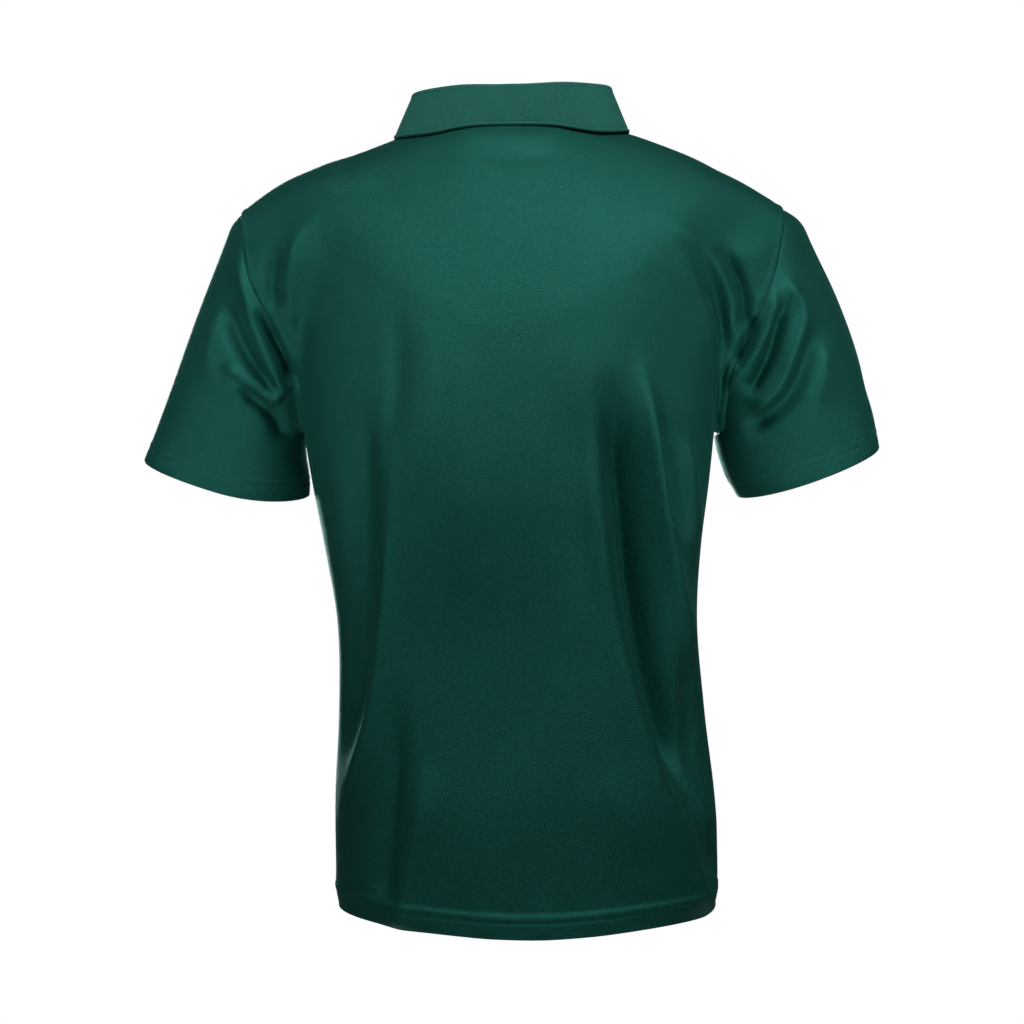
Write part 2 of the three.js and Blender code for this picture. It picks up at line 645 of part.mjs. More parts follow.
function makeBack() {
  const grid = filled(bodyEdges("back"));
  const places = grid.map((row) => row.map((p) => clothAt("body", p)));
  return clothWall(places, { thick: hemThick, ease: { sides: true, top: true } });
}

function makeFrontPlaces() {
  const nearMiddle = (i) => Math.abs(i - FRONT_MIDDLE) <= GRID.bandHalf + 1;
  const grid = filled({ ...bodyEdges("front"), holdColumns: nearMiddle });
  return grid.map((row) => row.map((p) => clothAt("body", p)));
}

// The row where the opening in the front ends.
function openingRow(places) {
  const top = places.length - 1;
  const length = (j) => places[j][FRONT_MIDDLE].base.distanceTo(places[top][FRONT_MIDDLE].base);
  let row = top;
  while (Math.abs(length(row - 1) - OPENING.depth) < Math.abs(length(row) - OPENING.depth)) row -= 1;
  return row;
}

function makeFront(places) {
  const foot = openingRow(places);
  const keep = (i, j) => j < foot || i < FRONT_MIDDLE - GRID.bandHalf || i >= FRONT_MIDDLE + GRID.bandHalf;
  return clothWall(places, { thick: hemThick, ease: { sides: true, top: true }, keep });
}

// A band of the front opening, made from the front's own points. low, high: how far its two faces lie
// outside the cloth. spread: how far it reaches past the opening on either side.
function makeBand(places, { low, high, spread, drop }) {
  const foot = openingRow(places);
  const across = [FRONT_MIDDLE - GRID.bandHalf, FRONT_MIDDLE, FRONT_MIDDLE + GRID.bandHalf];
  const lines = places.slice(foot).map((row) => across.map((i) => row[i].base));
  const share = spread / OPENING.half;
  const shifted = (by) => lines[0].map((p, i) => p.clone().add(lines[1][i].clone().sub(p).setLength(by)));
  const rows = drop > 0 ? [shifted(-drop), ...lines] : [shifted(-drop), ...lines.slice(1)];
  const grid = rows.map(([a, middle, b]) => span(4, (s) => {
    const at = mix(-1 - share, 1 + share, s);
    const end = at < 0 ? a : b;
    return clothAt("body", ontoForm("body", middle.clone().lerp(end, Math.abs(at)), true));
  }));
  const outer = grid.map((row) => row.map((place) => lifted(place, high)));
  const inner = grid.map((row) => row.map((place) => lifted(place, low)));
  return wall(outer, inner);
}

// Sleeve: rows from the armhole seam down to the hem, columns round the arm from the armpit.
function sleeveRing(side) {
  const back = armhole(side, "back");
  const front = armhole(side, "front");
  return [...back, ...front.reverse().slice(1, -1)];
}

function cuffRing(side) {
  const frame = FRAMES[side];
  const { tilt, rise } = SLEEVES[side];
  const count = 2 * GRID.armRows;
  const slope = THREE.MathUtils.degToRad(tilt);
  const outwards = new THREE.Vector3(Math.sign(frame.out.x) * Math.cos(slope), 0, Math.sin(slope));
  const deep = read(SLEEVE_SECTIONS, "t", "deep", 1);
  return Array.from({ length: count }, (_, i) => {
    const angle = (2 * Math.PI * i) / count;
    const across = -Math.cos(angle);
    const wide = read(SLEEVE_SECTIONS, "t", side + (across > 0 ? "Out" : "In"), 1);
    const p = frame.end.clone()
      .addScaledVector(outwards, across * wide)
      .addScaledVector(frame.back, Math.sin(angle) * deep)
      .addScaledVector(frame.down, -rise * Math.max(-across, 0) ** 2);
    return ontoForm("sleeve", p);
  });
}

function sleevePlaces(side) {
  const start = sleeveRing(side);
  const end = cuffRing(side);
  const length = SLEEVE_ROW_SHARES.length - 1;
  return SLEEVE_ROW_SHARES.map((share, j) => start.map((p, i) => {
    if (j === 0) return clothAt("sleeve", p.clone());
    const q = p.clone().lerp(end[i], share);
    return clothAt("sleeve", j === length ? q : ontoForm("sleeve", q));
  }));
}

// The rows' shares of the sleeve's length, with a row either side of the step above the hem.
const SLEEVE_HEM = { share: 0.1, step: 0.008 };
const SLEEVE_ROW_SHARES = [
  ...span(GRID.sleeveRows - 2, (share) => share * (1 - SLEEVE_HEM.share)),
  1 - SLEEVE_HEM.share + SLEEVE_HEM.step,
  1,
];

function makeSleeve(side) {
  const places = sleevePlaces(side);
  const rows = places.length;
  const thick = (j) => (j >= rows - 2 ? HEM_CLOTH : CLOTH);
  const outer = places.map((row) => row.map((place) => lifted(place, 0)));
  const inner = places.map((row, j) => row.map((place) => lifted(place, -thick(j))));
  const ease = { bottom: true };
  return wall(eased(outer, ease), eased(inner, ease), { around: true });
}

// Collar: one knitted strip, up from the neck seam, over a fold and down outside it.
function collarSections() {
  const half = (side) => {
    const front = neckHalf(side, "front", COLLAR_FRONT_X, SEAM_POINTS.collar).reverse();
    const back = neckHalf(side, "back", 0, SEAM_POINTS.collar);
    return evenly([...front, ...back.slice(1)], GRID.collarRound / 2);
  };
  const stations = (side) => half(side).map((seam, k) => collarStation(seam, (2 * k) / GRID.collarRound));
  return [...stations("left"), ...stations("right").reverse().slice(1)];
}

function collarStation(seam, at) {
  const stand = read(COLLAR, "at", "stand", at);
  const lean = read(COLLAR, "at", "lean", at);
  const normal = outward("body", seam).normalize();
  const away = new THREE.Vector3(seam.x, seam.y * COLLAR_LEAN_FORTH, 0).normalize();
  const { rise, nearX, farX } = COLLAR_OVER_BAND;
  const overBand = seam.y < 0 ? smooth(farX, nearX, Math.abs(seam.x)) : 0;
  const raise = COLLAR_SEAT + rise * overBand;
  const foot = seam.clone().addScaledVector(normal, raise);
  const fold = foot.clone()
    .addScaledVector(away, lean)
    .addScaledVector(UP, stand - COLLAR_TILT * seam.x);
  const edgeX = Math.sign(seam.x) * read(COLLAR, "at", "edgeX", at);
  const ground = clothAt("body", onTop(edgeX, read(COLLAR, "at", "edgeY", at)));
  const edge = lifted(ground, COLLAR_CLEAR + COLLAR_CLOTH / 2 + read(COLLAR, "at", "lift", at));
  return { foot, fold, edge };
}

// The middle line of a collar section: the stand, the turn of the fold, and the leaf.
function collarLine({ foot, fold, edge }) {
  const up = fold.clone().sub(foot).normalize();
  const down = edge.clone().sub(fold);
  const outwards = down.clone().addScaledVector(up, -down.dot(up)).normalize();
  const standTop = fold.clone().addScaledVector(up, -FOLD_RADIUS);
  const middle = standTop.clone().addScaledVector(outwards, FOLD_RADIUS);
  const leafTop = middle.clone().addScaledVector(outwards, FOLD_RADIUS);
  const stand = span(GRID.collarStand, (share) => foot.clone().lerp(standTop, share)).slice(0, -1);
  const turn = FOLD_ANGLES.map((angle) => middle.clone()
    .addScaledVector(outwards, FOLD_RADIUS * Math.cos(angle))
    .addScaledVector(up, FOLD_RADIUS * Math.sin(angle)));
  const leaf = span(GRID.collarLeaf, (share) => leafTop.clone().lerp(edge, share));
  return [...stand, ...turn, ...leaf];
}

function makeCollar() {
  const lines = collarSections().map(collarLine);
  const sides = lines.map((line, k) => line.map((p, c) => {
    const before = lines[Math.max(k - 1, 0)][c];
    const after = lines[Math.min(k + 1, lines.length - 1)][c];
    const along = after.clone().sub(before);
    const across = line[Math.min(c + 1, line.length - 1)].clone().sub(line[Math.max(c - 1, 0)]);
    return new THREE.Vector3().crossVectors(along, across).normalize();
  }));
  const half = COLLAR_CLOTH / 2;
  const shifted = (by) => (line, k) => line.map((p, c) => p.clone().addScaledVector(sides[k][c], by));
  return wall(lines.map(shifted(half)), lines.map(shifted(-half)));
}

// A place on the front's middle line, this far below the neck.
function belowNeck(places, distance) {
  let spot = places[places.length - 1][FRONT_MIDDLE].base;
  for (let gone = 0; gone < distance; gone += 1) {
    const normal = outward("body", spot);
    const down = new THREE.Vector3(0, -normal.z, normal.y).setLength(1);
    spot = ontoForm("body", spot.clone().add(down), true);
  }
  return clothAt("body", spot);
}

// Buttons: a turned disc with a raised rim round a dished middle.
function makeButton(places, number) {
  const place = belowNeck(places, BUTTON.first + number * BUTTON.pitch);
  const { radius, thick, rim, dish } = BUTTON;
  const profile = [
    [0, 0], [radius - rim, 0], [radius, rim], [radius, thick - rim], [radius - rim, thick],
    [dish + rim, thick], [dish, thick - rim], [0, thick - rim],
  ].map(([x, y]) => new THREE.Vector2(x, y));
  const mesh = piece(`button_${number + 1}`, new THREE.LatheGeometry(profile, GRID.button), BUTTON_FINISH);
  mesh.quaternion.setFromUnitVectors(new THREE.Vector3(0, 1, 0), place.normal);
  mesh.position.copy(lifted(place, BAND.lift + BAND_CLOTH + BUTTON.seat));
  return mesh;
}

// Assembly
function piece(name, geometry, { color, roughness }) {
  const mesh = new THREE.Mesh(geometry, new THREE.MeshStandardMaterial({ color, roughness, metalness: 0 }));
  mesh.name = name;
  return mesh;
}

const shirt = new THREE.Group();
const frontPlaces = makeFrontPlaces();
const underBand = { low: -BAND_CLOTH, high: 0, spread: -SEAM_GAP, drop: -SEAM_GAP };
const topBand = { low: BAND.lift, high: BAND.lift + BAND_CLOTH, spread: BAND.overlap, drop: BAND.foot };
shirt.add(piece("back", makeBack(), KNIT_FINISH));
shirt.add(piece("front", makeFront(frontPlaces), KNIT_FINISH));
shirt.add(piece("sleeve_left", makeSleeve("left"), KNIT_FINISH));
shirt.add(piece("sleeve_right", makeSleeve("right"), KNIT_FINISH));
shirt.add(piece("collar", makeCollar(), COLLAR_FINISH));
shirt.add(piece("placket_under", makeBand(frontPlaces, underBand), KNIT_FINISH));
shirt.add(piece("placket_top", makeBand(frontPlaces, topBand), KNIT_FINISH));
for (let number = 0; number < BUTTON.count; number += 1) shirt.add(makeButton(frontPlaces, number));

export default shirt;
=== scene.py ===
# %% [markdown]
# # A polo shirt of smooth dark-green knit, filled out as worn
#
# The shirt is seen from behind, filled out as if somebody wore it, with nobody inside. The solids of the
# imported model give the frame: which pieces there are and where they are. This lesson dresses them with
# thin cloth that has the real folds, seams, hems, stitches, collar and buttons.
#
# All measures of the shirt are written in millimetres, as a pattern cutter writes them, and turned into
# metres when a mesh is made. +Z is up, the front faces -Y and the wearer's left side is +X.

# %% Load the frame
import json

import bpy
import numpy as np
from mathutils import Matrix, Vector

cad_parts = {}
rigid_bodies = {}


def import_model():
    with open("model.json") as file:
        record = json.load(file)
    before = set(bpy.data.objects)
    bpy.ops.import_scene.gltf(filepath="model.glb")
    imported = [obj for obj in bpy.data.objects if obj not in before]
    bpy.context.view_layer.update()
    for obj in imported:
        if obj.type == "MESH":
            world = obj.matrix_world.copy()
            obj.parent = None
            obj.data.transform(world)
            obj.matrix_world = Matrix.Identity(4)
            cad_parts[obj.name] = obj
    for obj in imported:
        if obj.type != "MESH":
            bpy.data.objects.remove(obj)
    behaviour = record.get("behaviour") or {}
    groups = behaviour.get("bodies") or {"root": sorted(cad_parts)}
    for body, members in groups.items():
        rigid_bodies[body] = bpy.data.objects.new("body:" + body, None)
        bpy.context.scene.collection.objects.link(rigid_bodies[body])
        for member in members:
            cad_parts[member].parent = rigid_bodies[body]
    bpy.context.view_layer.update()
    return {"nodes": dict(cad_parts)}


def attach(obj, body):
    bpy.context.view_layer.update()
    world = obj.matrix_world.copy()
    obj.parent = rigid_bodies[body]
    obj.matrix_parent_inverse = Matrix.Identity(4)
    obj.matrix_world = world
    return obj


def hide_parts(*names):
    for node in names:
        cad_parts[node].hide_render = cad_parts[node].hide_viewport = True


for startup in list(bpy.data.objects):
    bpy.data.objects.remove(startup)
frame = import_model()
MM = 0.001
print("nodes:", sorted(frame["nodes"]))


def add_object(name, data):
    made = bpy.data.objects.new(name, data)
    bpy.context.scene.collection.objects.link(made)
    return made


def count_triangles(made):
    print(made.name, "has", sum(len(f.vertices) - 2 for f in made.data.polygons), "triangles")


# %% [markdown]
# ## The camera
#
# The photograph is taken straight from behind, level with the small of the back, from far enough away
# that the sides hardly foreshorten. A long lens at 2.8 metres gives the same view. The camera comes
# first, because everything after it is judged through it.

# %% Camera
PICTURE = 1024
MM_PER_PIXEL = 0.9
NECK_ROW = 138
CAMERA_DISTANCE = 2.8
CAMERA_HEIGHT = -(PICTURE / 2 - NECK_ROW) * MM_PER_PIXEL * MM
SENSOR = 36.0


def make_camera():
    data = bpy.data.cameras.new("camera")
    data.sensor_width = SENSOR
    data.lens = SENSOR * CAMERA_DISTANCE / (PICTURE * MM_PER_PIXEL * MM)
    camera = add_object("camera", data)
    camera.location = (0, CAMERA_DISTANCE, CAMERA_HEIGHT)
    camera.rotation_euler = (np.pi / 2, 0, np.pi)
    bpy.context.scene.camera = camera
    return camera


print("lens:", round(make_camera().data.lens, 1), "mm")

# %% [markdown]
# ## Short tables, read as smooth curves
#
# A body changes its width smoothly from hem to shoulder, so a few measured sections are enough. Each
# table has one row for a section, and a curve through the rows gives every place between them.


# %% Tables
def table(columns, rows):
    """Named columns over the first one, each as a smooth curve through the rows."""
    names = columns.split()
    data = np.array(sorted(rows), float)
    place = data[:, 0]
    fine = np.linspace(place[0], place[-1], 1500)
    cell = np.clip(np.searchsorted(place, fine, side="right") - 1, 0, len(place) - 2)
    width = np.diff(place)[cell]
    t = (fine - place[cell]) / width
    curves = {"at": fine}
    for k, name in enumerate(names[1:], start=1):
        value = data[:, k]
        slope = np.gradient(value, place) if len(place) > 2 else np.full(2, (value[1] - value[0]) / width[0])
        before, after = slope[cell], slope[cell + 1]
        curves[name] = (
            (2 * t**3 - 3 * t**2 + 1) * value[cell]
            + (t**3 - 2 * t**2 + t) * width * before
            + (3 * t**2 - 2 * t**3) * value[cell + 1]
            + (t**3 - t**2) * width * after
        )
    return curves


def read(curves, name, at):
    return np.interp(at, curves["at"], curves[name])


def smooth(low, high, value):
    t = np.clip((value - low) / (high - low), 0, 1)
    return t * t * (3 - 2 * t)


def mix(a, b, share):
    return a + (b - a) * share


# %% [markdown]
# ## The worn form
#
# Cloth on a body lies on one smooth form: a rounded column for the trunk, a roof over the shoulders and a
# tube for each arm, melted together in the armpits. Such a form could be sculpted, but here it is a
# formula that tells how far a point lies outside it, with the same sizes as the solids. The formula is
# exact at any fineness, and every seam that two pieces share falls in the same place on both.

# %% Sizes of the worn form
SECTIONS = table("z half lean back front power", [
    (-760, 171, -14, 113, 110, 2.3),
    (-690, 170, -14, 113, 110, 2.3),
    (-591, 168.5, -11.5, 112, 110, 2.3),
    (-510, 162.5, -8.5, 108, 110, 2.3),
    (-430, 160.5, -4.5, 108, 113, 2.35),
    (-362, 168.5, -0.5, 114, 119, 2.4),
    (-320, 175, 1, 119, 124, 2.4),
    (-250, 184, 3, 124, 128, 2.4),
    (-170, 193, 2, 126, 130, 2.4),
    (-106, 200, 0, 126, 130, 2.4),
    (-50, 222, 0, 126, 130, 2.4),
    (40, 240, 0, 126, 130, 2.4),
])
RIDGE = table("x left right y", [
    (0, 11, 11, 40),
    (40, 10, 11, 34),
    (80, 4, 7, 12),
    (107, -5, 1, 4),
    (140, -17, -11, 2),
    (170, -27, -24.5, 2),
    (200, -43.5, -42.5, 4),
    (225, -61, -60, 6),
    (250, -85, -84, 8),
    (320, -157, -157, 8),
])
RIDGE_TURN = 60
OVER_BACK = {"foot": -170, "reach": 127, "power": 2.0}
OVER_FRONT = {"foot": -200, "reach": 131, "power": 1.6}
OVER_SLOPE = 0.8
OVER_ROUNDING = 34
SLEEVES = {
    "left": {"joint": (186, 8, -112), "cuff": (265.5, -32, -311), "cap": 46, "tilt": 17, "rise": 14},
    "right": {"joint": (-194, 8, -112), "cuff": (-271, -32, -301), "cap": 46, "tilt": 20, "rise": 2},
}
SLEEVE_SECTIONS = table("t left_out left_in right_out right_in deep", [
    (-0.4, 73, 66, 73, 66, 64),
    (0, 73, 66, 74, 66, 64),
    (0.33, 73, 62, 79, 64, 60),
    (0.63, 72, 56, 78, 66, 55),
    (0.74, 72, 62.5, 75, 71, 51),
    (0.85, 72, 75, 73, 72.5, 48),
    (1, 72, 83, 67, 68.5, 45),
    (1.3, 72, 83, 67, 68.5, 45),
])
MERGE = {"low": 12, "high": 40, "low_z": -175, "high_z": -85}
PART = {"z": -262, "rate": 1.2}
DRAW = {"turns": 8, "flattest": 0.05, "longest": 25}
ROOF = {"low": -110, "high": 90, "reach": 200}


# %% The form as a distance
def soft_least(a, b, width):
    h = np.maximum(width - np.abs(a - b), 0) / width
    return np.minimum(a, b) - h * h * width / 4


def trunk(p):
    x, y, z = p[..., 0], p[..., 1], p[..., 2]
    half, lean = read(SECTIONS, "half", z), read(SECTIONS, "lean", z)
    depth = np.where(y > 0, read(SECTIONS, "back", z), read(SECTIONS, "front", z))
    power = read(SECTIONS, "power", z)
    q = (np.abs((x - lean) / half) ** power + np.abs(y / depth) ** power) ** (1 / power)
    side = np.hypot(x - lean, y) * (1 - 1 / np.maximum(q, 0.01))
    ridge_y = read(RIDGE, "y", np.abs(x))
    ridge_z = mix(
        read(RIDGE, "right", np.abs(x)), read(RIDGE, "left", np.abs(x)), smooth(-RIDGE_TURN, RIDGE_TURN, x)
    )
    behind = y > ridge_y
    foot = np.where(behind, OVER_BACK["foot"], OVER_FRONT["foot"])
    bend = np.where(behind, OVER_BACK["power"], OVER_FRONT["power"])
    run = np.where(behind, OVER_BACK["reach"] - ridge_y, OVER_FRONT["reach"] + ridge_y)
    share = np.minimum(np.abs(y - ridge_y) / run, 0.9999)
    over = (z - foot - (ridge_z - foot) * (1 - share**bend) ** (1 / bend)) * OVER_SLOPE
    return -soft_least(-side, -over, OVER_ROUNDING)


def sleeve_frame(side):
    start, end = (np.array(SLEEVES[side][k], float) for k in ("joint", "cuff"))
    length = np.linalg.norm(end - start)
    down = (end - start) / length
    back = np.array((0, 1, 0)) - down * down[1]
    back /= np.linalg.norm(back)
    out = np.cross(down, back)
    out *= np.sign(out[0]) * (1 if side == "left" else -1)
    return {**SLEEVES[side], "side": side, "start": start, "end": end, "length": length,
            "down": down, "back": back, "out": out}


FRAMES = {side: sleeve_frame(side) for side in SLEEVES}


def arm(p, f):
    offset = p - f["start"]
    along, u, w = offset @ f["down"], offset @ f["out"], offset @ f["back"]
    t = np.clip(along / f["length"], -0.4, 1.3)
    wide = np.where(
        u > 0, read(SLEEVE_SECTIONS, f["side"] + "_out", t), read(SLEEVE_SECTIONS, f["side"] + "_in", t)
    )
    deep = read(SLEEVE_SECTIONS, "deep", t)
    above = np.minimum(along, 0)
    q = np.sqrt((u / wide) ** 2 + (w / deep) ** 2 + (above / f["cap"]) ** 2)
    return np.sqrt(u * u + w * w + above * above) * (1 - 1 / np.maximum(q, 0.01))


def form(piece, p):
    """How far the points lie outside the form that "body" or "sleeve" cloth follows."""
    z = p[..., 2]
    width = mix(MERGE["low"], MERGE["high"], smooth(MERGE["low_z"], MERGE["high_z"], z))
    apart = np.maximum(PART["z"] - z, 0) * PART["rate"]
    left = p[..., 0] > 0
    sleeve = np.where(left, arm(p, FRAMES["left"]), arm(p, FRAMES["right"]))
    return soft_least(
        trunk(p) + (apart if piece == "sleeve" else 0), sleeve + (apart if piece == "body" else 0), width
    )


PROBES = np.array(((1, -1, -1), (-1, -1, 1), (-1, 1, -1), (1, 1, 1)), float)


def outward(piece, p, step=0.5):
    """The form's slope at the points: outwards, and about one long."""
    return sum(form(piece, p + k * step)[..., None] * k for k in PROBES) / (4 * step)


def unit(v):
    return v / np.maximum(np.linalg.norm(v, axis=-1, keepdims=True), 1e-9)


def onto_form(piece, p, turns=DRAW["turns"], hold_x=False):
    """The points, drawn onto the form along its slope, with x held where that is asked for."""
    p = p.copy()
    for _ in range(turns):
        slope = outward(piece, p)
        if hold_x:
            slope[..., 0] = 0
        step = form(piece, p) / np.maximum((slope**2).sum(-1), DRAW["flattest"])
        p -= np.clip(step, -DRAW["longest"], DRAW["longest"])[..., None] * slope
    return p


print("sleeve lengths:", [round(f["length"]) for f in FRAMES.values()], "mm")

# %% [markdown]
# ## Seam lines
#
# A shirt is sewn along lines that a cutter knows: side seams, armholes, shoulder seams, neck and hem. On
# the form each line is found once, as a fine row of points, and both neighbours take it from there.

# %% Sizes of the seams
ARMHOLE = table("z x", [
    (-320, 190), (-262, 190), (-225, 194), (-193, 201), (-165, 214),
    (-135, 228), (-100, 237), (-66, 242), (-30, 243),
])
ARMHOLE_MIDDLE = (2, -165)
NECK = {"half": 80, "side_y": 2, "back": 55, "front": -66, "power": 2.1}
SHOULDER_SEAM_Y = -6
HEM = {"side": -686.5, "back": -706.5, "front": -700, "power": 1.2}
FINE = 240


# %% Finding the seam lines
def first_outside(place, far, step=3.0, near=0.0):
    """For lines given by place(r), the first point outside the form."""
    reach = np.arange(near, far, step)
    outside = np.array([form("body", place(np.full(FINE + 1, r))) > 0 for r in reach])
    hit = np.argmax(outside, axis=0)
    high = reach[hit]
    low = high - step
    for _ in range(24):
        middle = (low + high) / 2
        out = form("body", place(middle)) > 0
        high, low = np.where(out, middle, high), np.where(out, low, middle)
    return place(high)


def lengths(line):
    return np.concatenate([[0], np.cumsum(np.linalg.norm(np.diff(line, axis=0), axis=1))])


def along(line, shares):
    """Points at the given shares of a line's length."""
    s = lengths(line)
    return np.stack([np.interp(np.asarray(shares) * s[-1], s, line[:, k]) for k in range(3)], axis=-1)


def armhole(side, face):
    """From the armpit over the back or front to the shoulder seam."""
    sign, turn = (1 if side == "left" else -1), (1 if face == "back" else -1)
    angle = np.pi * (np.linspace(0, 1, FINE + 1) - 0.5)
    middle_y, middle_z = ARMHOLE_MIDDLE

    def place(r):
        z = middle_z + r * np.sin(angle)
        return np.stack([sign * read(ARMHOLE, "x", z), middle_y + turn * r * np.cos(angle), z], axis=-1)

    return first_outside(place, 180, near=20)


def on_top(x, y):
    def place(r):
        return np.stack([x, y, ROOF["low"] + r], axis=-1)

    return first_outside(place, ROOF["reach"])


def neck_line(side, face, end_x=0.0):
    sign = 1 if side == "left" else -1
    angle = np.linspace(0, 1, FINE + 1) * np.pi / 2
    x = sign * NECK["half"] * np.cos(angle) ** (2 / NECK["power"])
    y = mix(NECK["side_y"], NECK[face], np.sin(angle) ** (2 / NECK["power"]))
    line = on_top(x, y)
    if end_x == 0:
        line[-1, 0] = 0
        return line
    keep = np.abs(line[:, 0]) > end_x
    last = int(keep.sum())
    share = (abs(line[last - 1, 0]) - end_x) / (abs(line[last - 1, 0]) - abs(line[last, 0]))
    return np.vstack([line[:last], mix(line[last - 1], line[last], share)])


def shoulder_seam(side):
    start, end = armhole(side, "back")[-1], neck_line(side, "back")[0]
    s = np.linspace(0, 1, FINE + 1)
    line = on_top(mix(start[0], end[0], s), mix(start[1], end[1], s) + SHOULDER_SEAM_Y * np.sin(np.pi * s))
    line[0], line[-1] = start, end
    return line


def side_seam(side):
    top = armhole(side, "back")[0]
    z = np.linspace(HEM["side"], top[2], FINE + 1)
    sign = 1 if side == "left" else -1

    def place(r):
        return np.stack([read(SECTIONS, "lean", z) + sign * r, 0 * z, z], axis=-1)

    line = first_outside(place, 400, near=100)
    line[-1] = top
    return line


def hem_line(face):
    angle = np.linspace(0, 1, FINE + 1) * np.pi
    drop = np.sin(angle)
    z = mix(HEM["side"], HEM[face], np.maximum(drop, 0) ** HEM["power"])
    turn = 1 if face == "back" else -1

    def place(r):
        return np.stack([read(SECTIONS, "lean", z) + r * np.cos(angle), turn * r * drop, z], axis=-1)

    return first_outside(place, 400, near=60)


print("armhole, back half:", round(lengths(armhole("left", "back"))[-1]), "mm")

# %% [markdown]
# ## Cut pieces on the form
#
# A front or back is a grid of threads between four edges. It is laid on the form coarsely first, evened
# out so that its threads run as they do in cloth, and only then made fine. A fine grid that is evened
# out directly would take far longer and look no better.

# %% Laying a grid between four edges
SIDE_CELLS, ARM_CELLS = 17, 13
SHOULDER_CELLS, NECK_CELLS = 9, 12
EDGE_PULL = 4
EVENING = {"turns": 60, "draws": 3, "share": 0.6}
EDGE_CELLS = 2.0


def edge_points(stretches, at):
    """Points on an edge of several stretches, (line, cells), at places counted in cells."""
    at = np.asarray(at, float)
    points = np.zeros((len(at), 3))
    start = 0
    for line, cells in stretches:
        inside = (at >= start - 1e-9) & (at <= start + cells + 1e-9)
        points[inside] = along(line, np.clip((at[inside] - start) / cells, 0, 1))
        start += cells
    return points


def shares_of(points):
    s = lengths(points)
    return s / s[-1]


def laid(edges):
    """The coarse grid, as rows from the hem up."""
    bottom, top, left, right = (
        edge_points(edges[k], np.arange(sum(cells for _, cells in edges[k]) + 1))
        for k in ("bottom", "top", "left", "right")
    )
    s, t = shares_of(bottom), shares_of(left)
    across = mix(s[None, :], shares_of(top)[None, :], t[:, None])[..., None]
    rise = t[:, None, None]
    grid = mix(bottom[None], top[None], rise)
    grid += (left[:, None] - mix(bottom[0], top[0], t[:, None])[:, None]) * (1 - across) ** EDGE_PULL
    grid += (right[:, None] - mix(bottom[-1], top[-1], t[:, None])[:, None]) * across**EDGE_PULL
    for _ in range(EVENING["turns"]):
        inner = onto_form("body", grid[1:-1, 1:-1], turns=EVENING["draws"])
        grid[1:-1, 1:-1] = inner
        middle = (grid[:-2, 1:-1] + grid[2:, 1:-1] + grid[1:-1, :-2] + grid[1:-1, 2:]) / 4
        grid[1:-1, 1:-1] = mix(inner, middle, EVENING["share"])
        grid[0], grid[-1] = bottom, top
        grid[:, 0], grid[:, -1] = left, right
    return grid


def finer(count, at):
    """Weights that read count even places as a smooth curve at the places at, counted in cells."""
    at = np.asarray(at, float)
    cell = np.clip(np.floor(at).astype(int), 0, count - 2)
    t = at - cell
    weights = np.zeros((len(at), count))
    rows = np.arange(len(at))
    for value, step in ((2 * t**3 - 3 * t**2 + 1, 0), (3 * t**2 - 2 * t**3, 1)):
        np.add.at(weights, (rows, cell + step), value)
    for value, step in ((t**3 - 2 * t**2 + t, 0), (t**3 - t**2, 1)):
        ahead = np.clip(cell + step + 1, 0, count - 1)
        behind = np.clip(cell + step - 1, 0, count - 1)
        span = ahead - behind
        np.add.at(weights, (rows, ahead), value / span)
        np.add.at(weights, (rows, behind), -value / span)
    return weights


def fine_grid(edges, rows_at, columns_at):
    coarse = laid(edges)
    up, across = finer(coarse.shape[0], rows_at), finer(coarse.shape[1], columns_at)
    grid = np.einsum("ri,cj,ijk->rck", up, across, coarse)
    true = {k: edge_points(edges[k], columns_at if k in ("bottom", "top") else rows_at) for k in edges}
    for name, row, distance in (("bottom", 0, rows_at), ("top", -1, rows_at[-1] - rows_at)):
        fade = np.clip(1 - distance / EDGE_CELLS, 0, 1) ** 2
        grid += fade[:, None, None] * (true[name] - grid[row])[None]
    for name, column, distance in (("left", 0, columns_at), ("right", -1, columns_at[-1] - columns_at)):
        fade = np.clip(1 - distance / EDGE_CELLS, 0, 1) ** 2
        grid += fade[None, :, None] * (true[name] - grid[:, column])[:, None]
    grid = onto_form("body", grid)
    grid[0], grid[-1], grid[:, 0], grid[:, -1] = true["bottom"], true["top"], true["left"], true["right"]
    return grid


def places(*stretches):
    """Places counted in cells: each stretch is (cells, steps in it)."""
    marks, start = [np.zeros(1)], 0
    for cells, steps in stretches:
        marks.append(np.linspace(start, start + cells, steps + 1)[1:])
        start += cells
    return np.concatenate(marks)


BODY_ROWS = places((1, 16), (SIDE_CELLS - 1, 7 * (SIDE_CELLS - 1)), (ARM_CELLS, 8 * ARM_CELLS))
BODY_COLUMNS = places((1, 9), (SHOULDER_CELLS - 1, 8 * (SHOULDER_CELLS - 1)), (NECK_CELLS, 5 * NECK_CELLS),
                      (SHOULDER_CELLS - 1, 8 * (SHOULDER_CELLS - 1)), (1, 9))


def body_edges(face):
    half = NECK_CELLS / 2
    return {
        "bottom": [(hem_line(face), 2 * SHOULDER_CELLS + NECK_CELLS)],
        "top": [
            (shoulder_seam("left"), SHOULDER_CELLS),
            (neck_line("left", face), half),
            (neck_line("right", face)[::-1], half),
            (shoulder_seam("right")[::-1], SHOULDER_CELLS),
        ],
        "left": [(side_seam("left"), SIDE_CELLS), (armhole("left", face), ARM_CELLS)],
        "right": [(side_seam("right"), SIDE_CELLS), (armhole("right", face), ARM_CELLS)],
    }


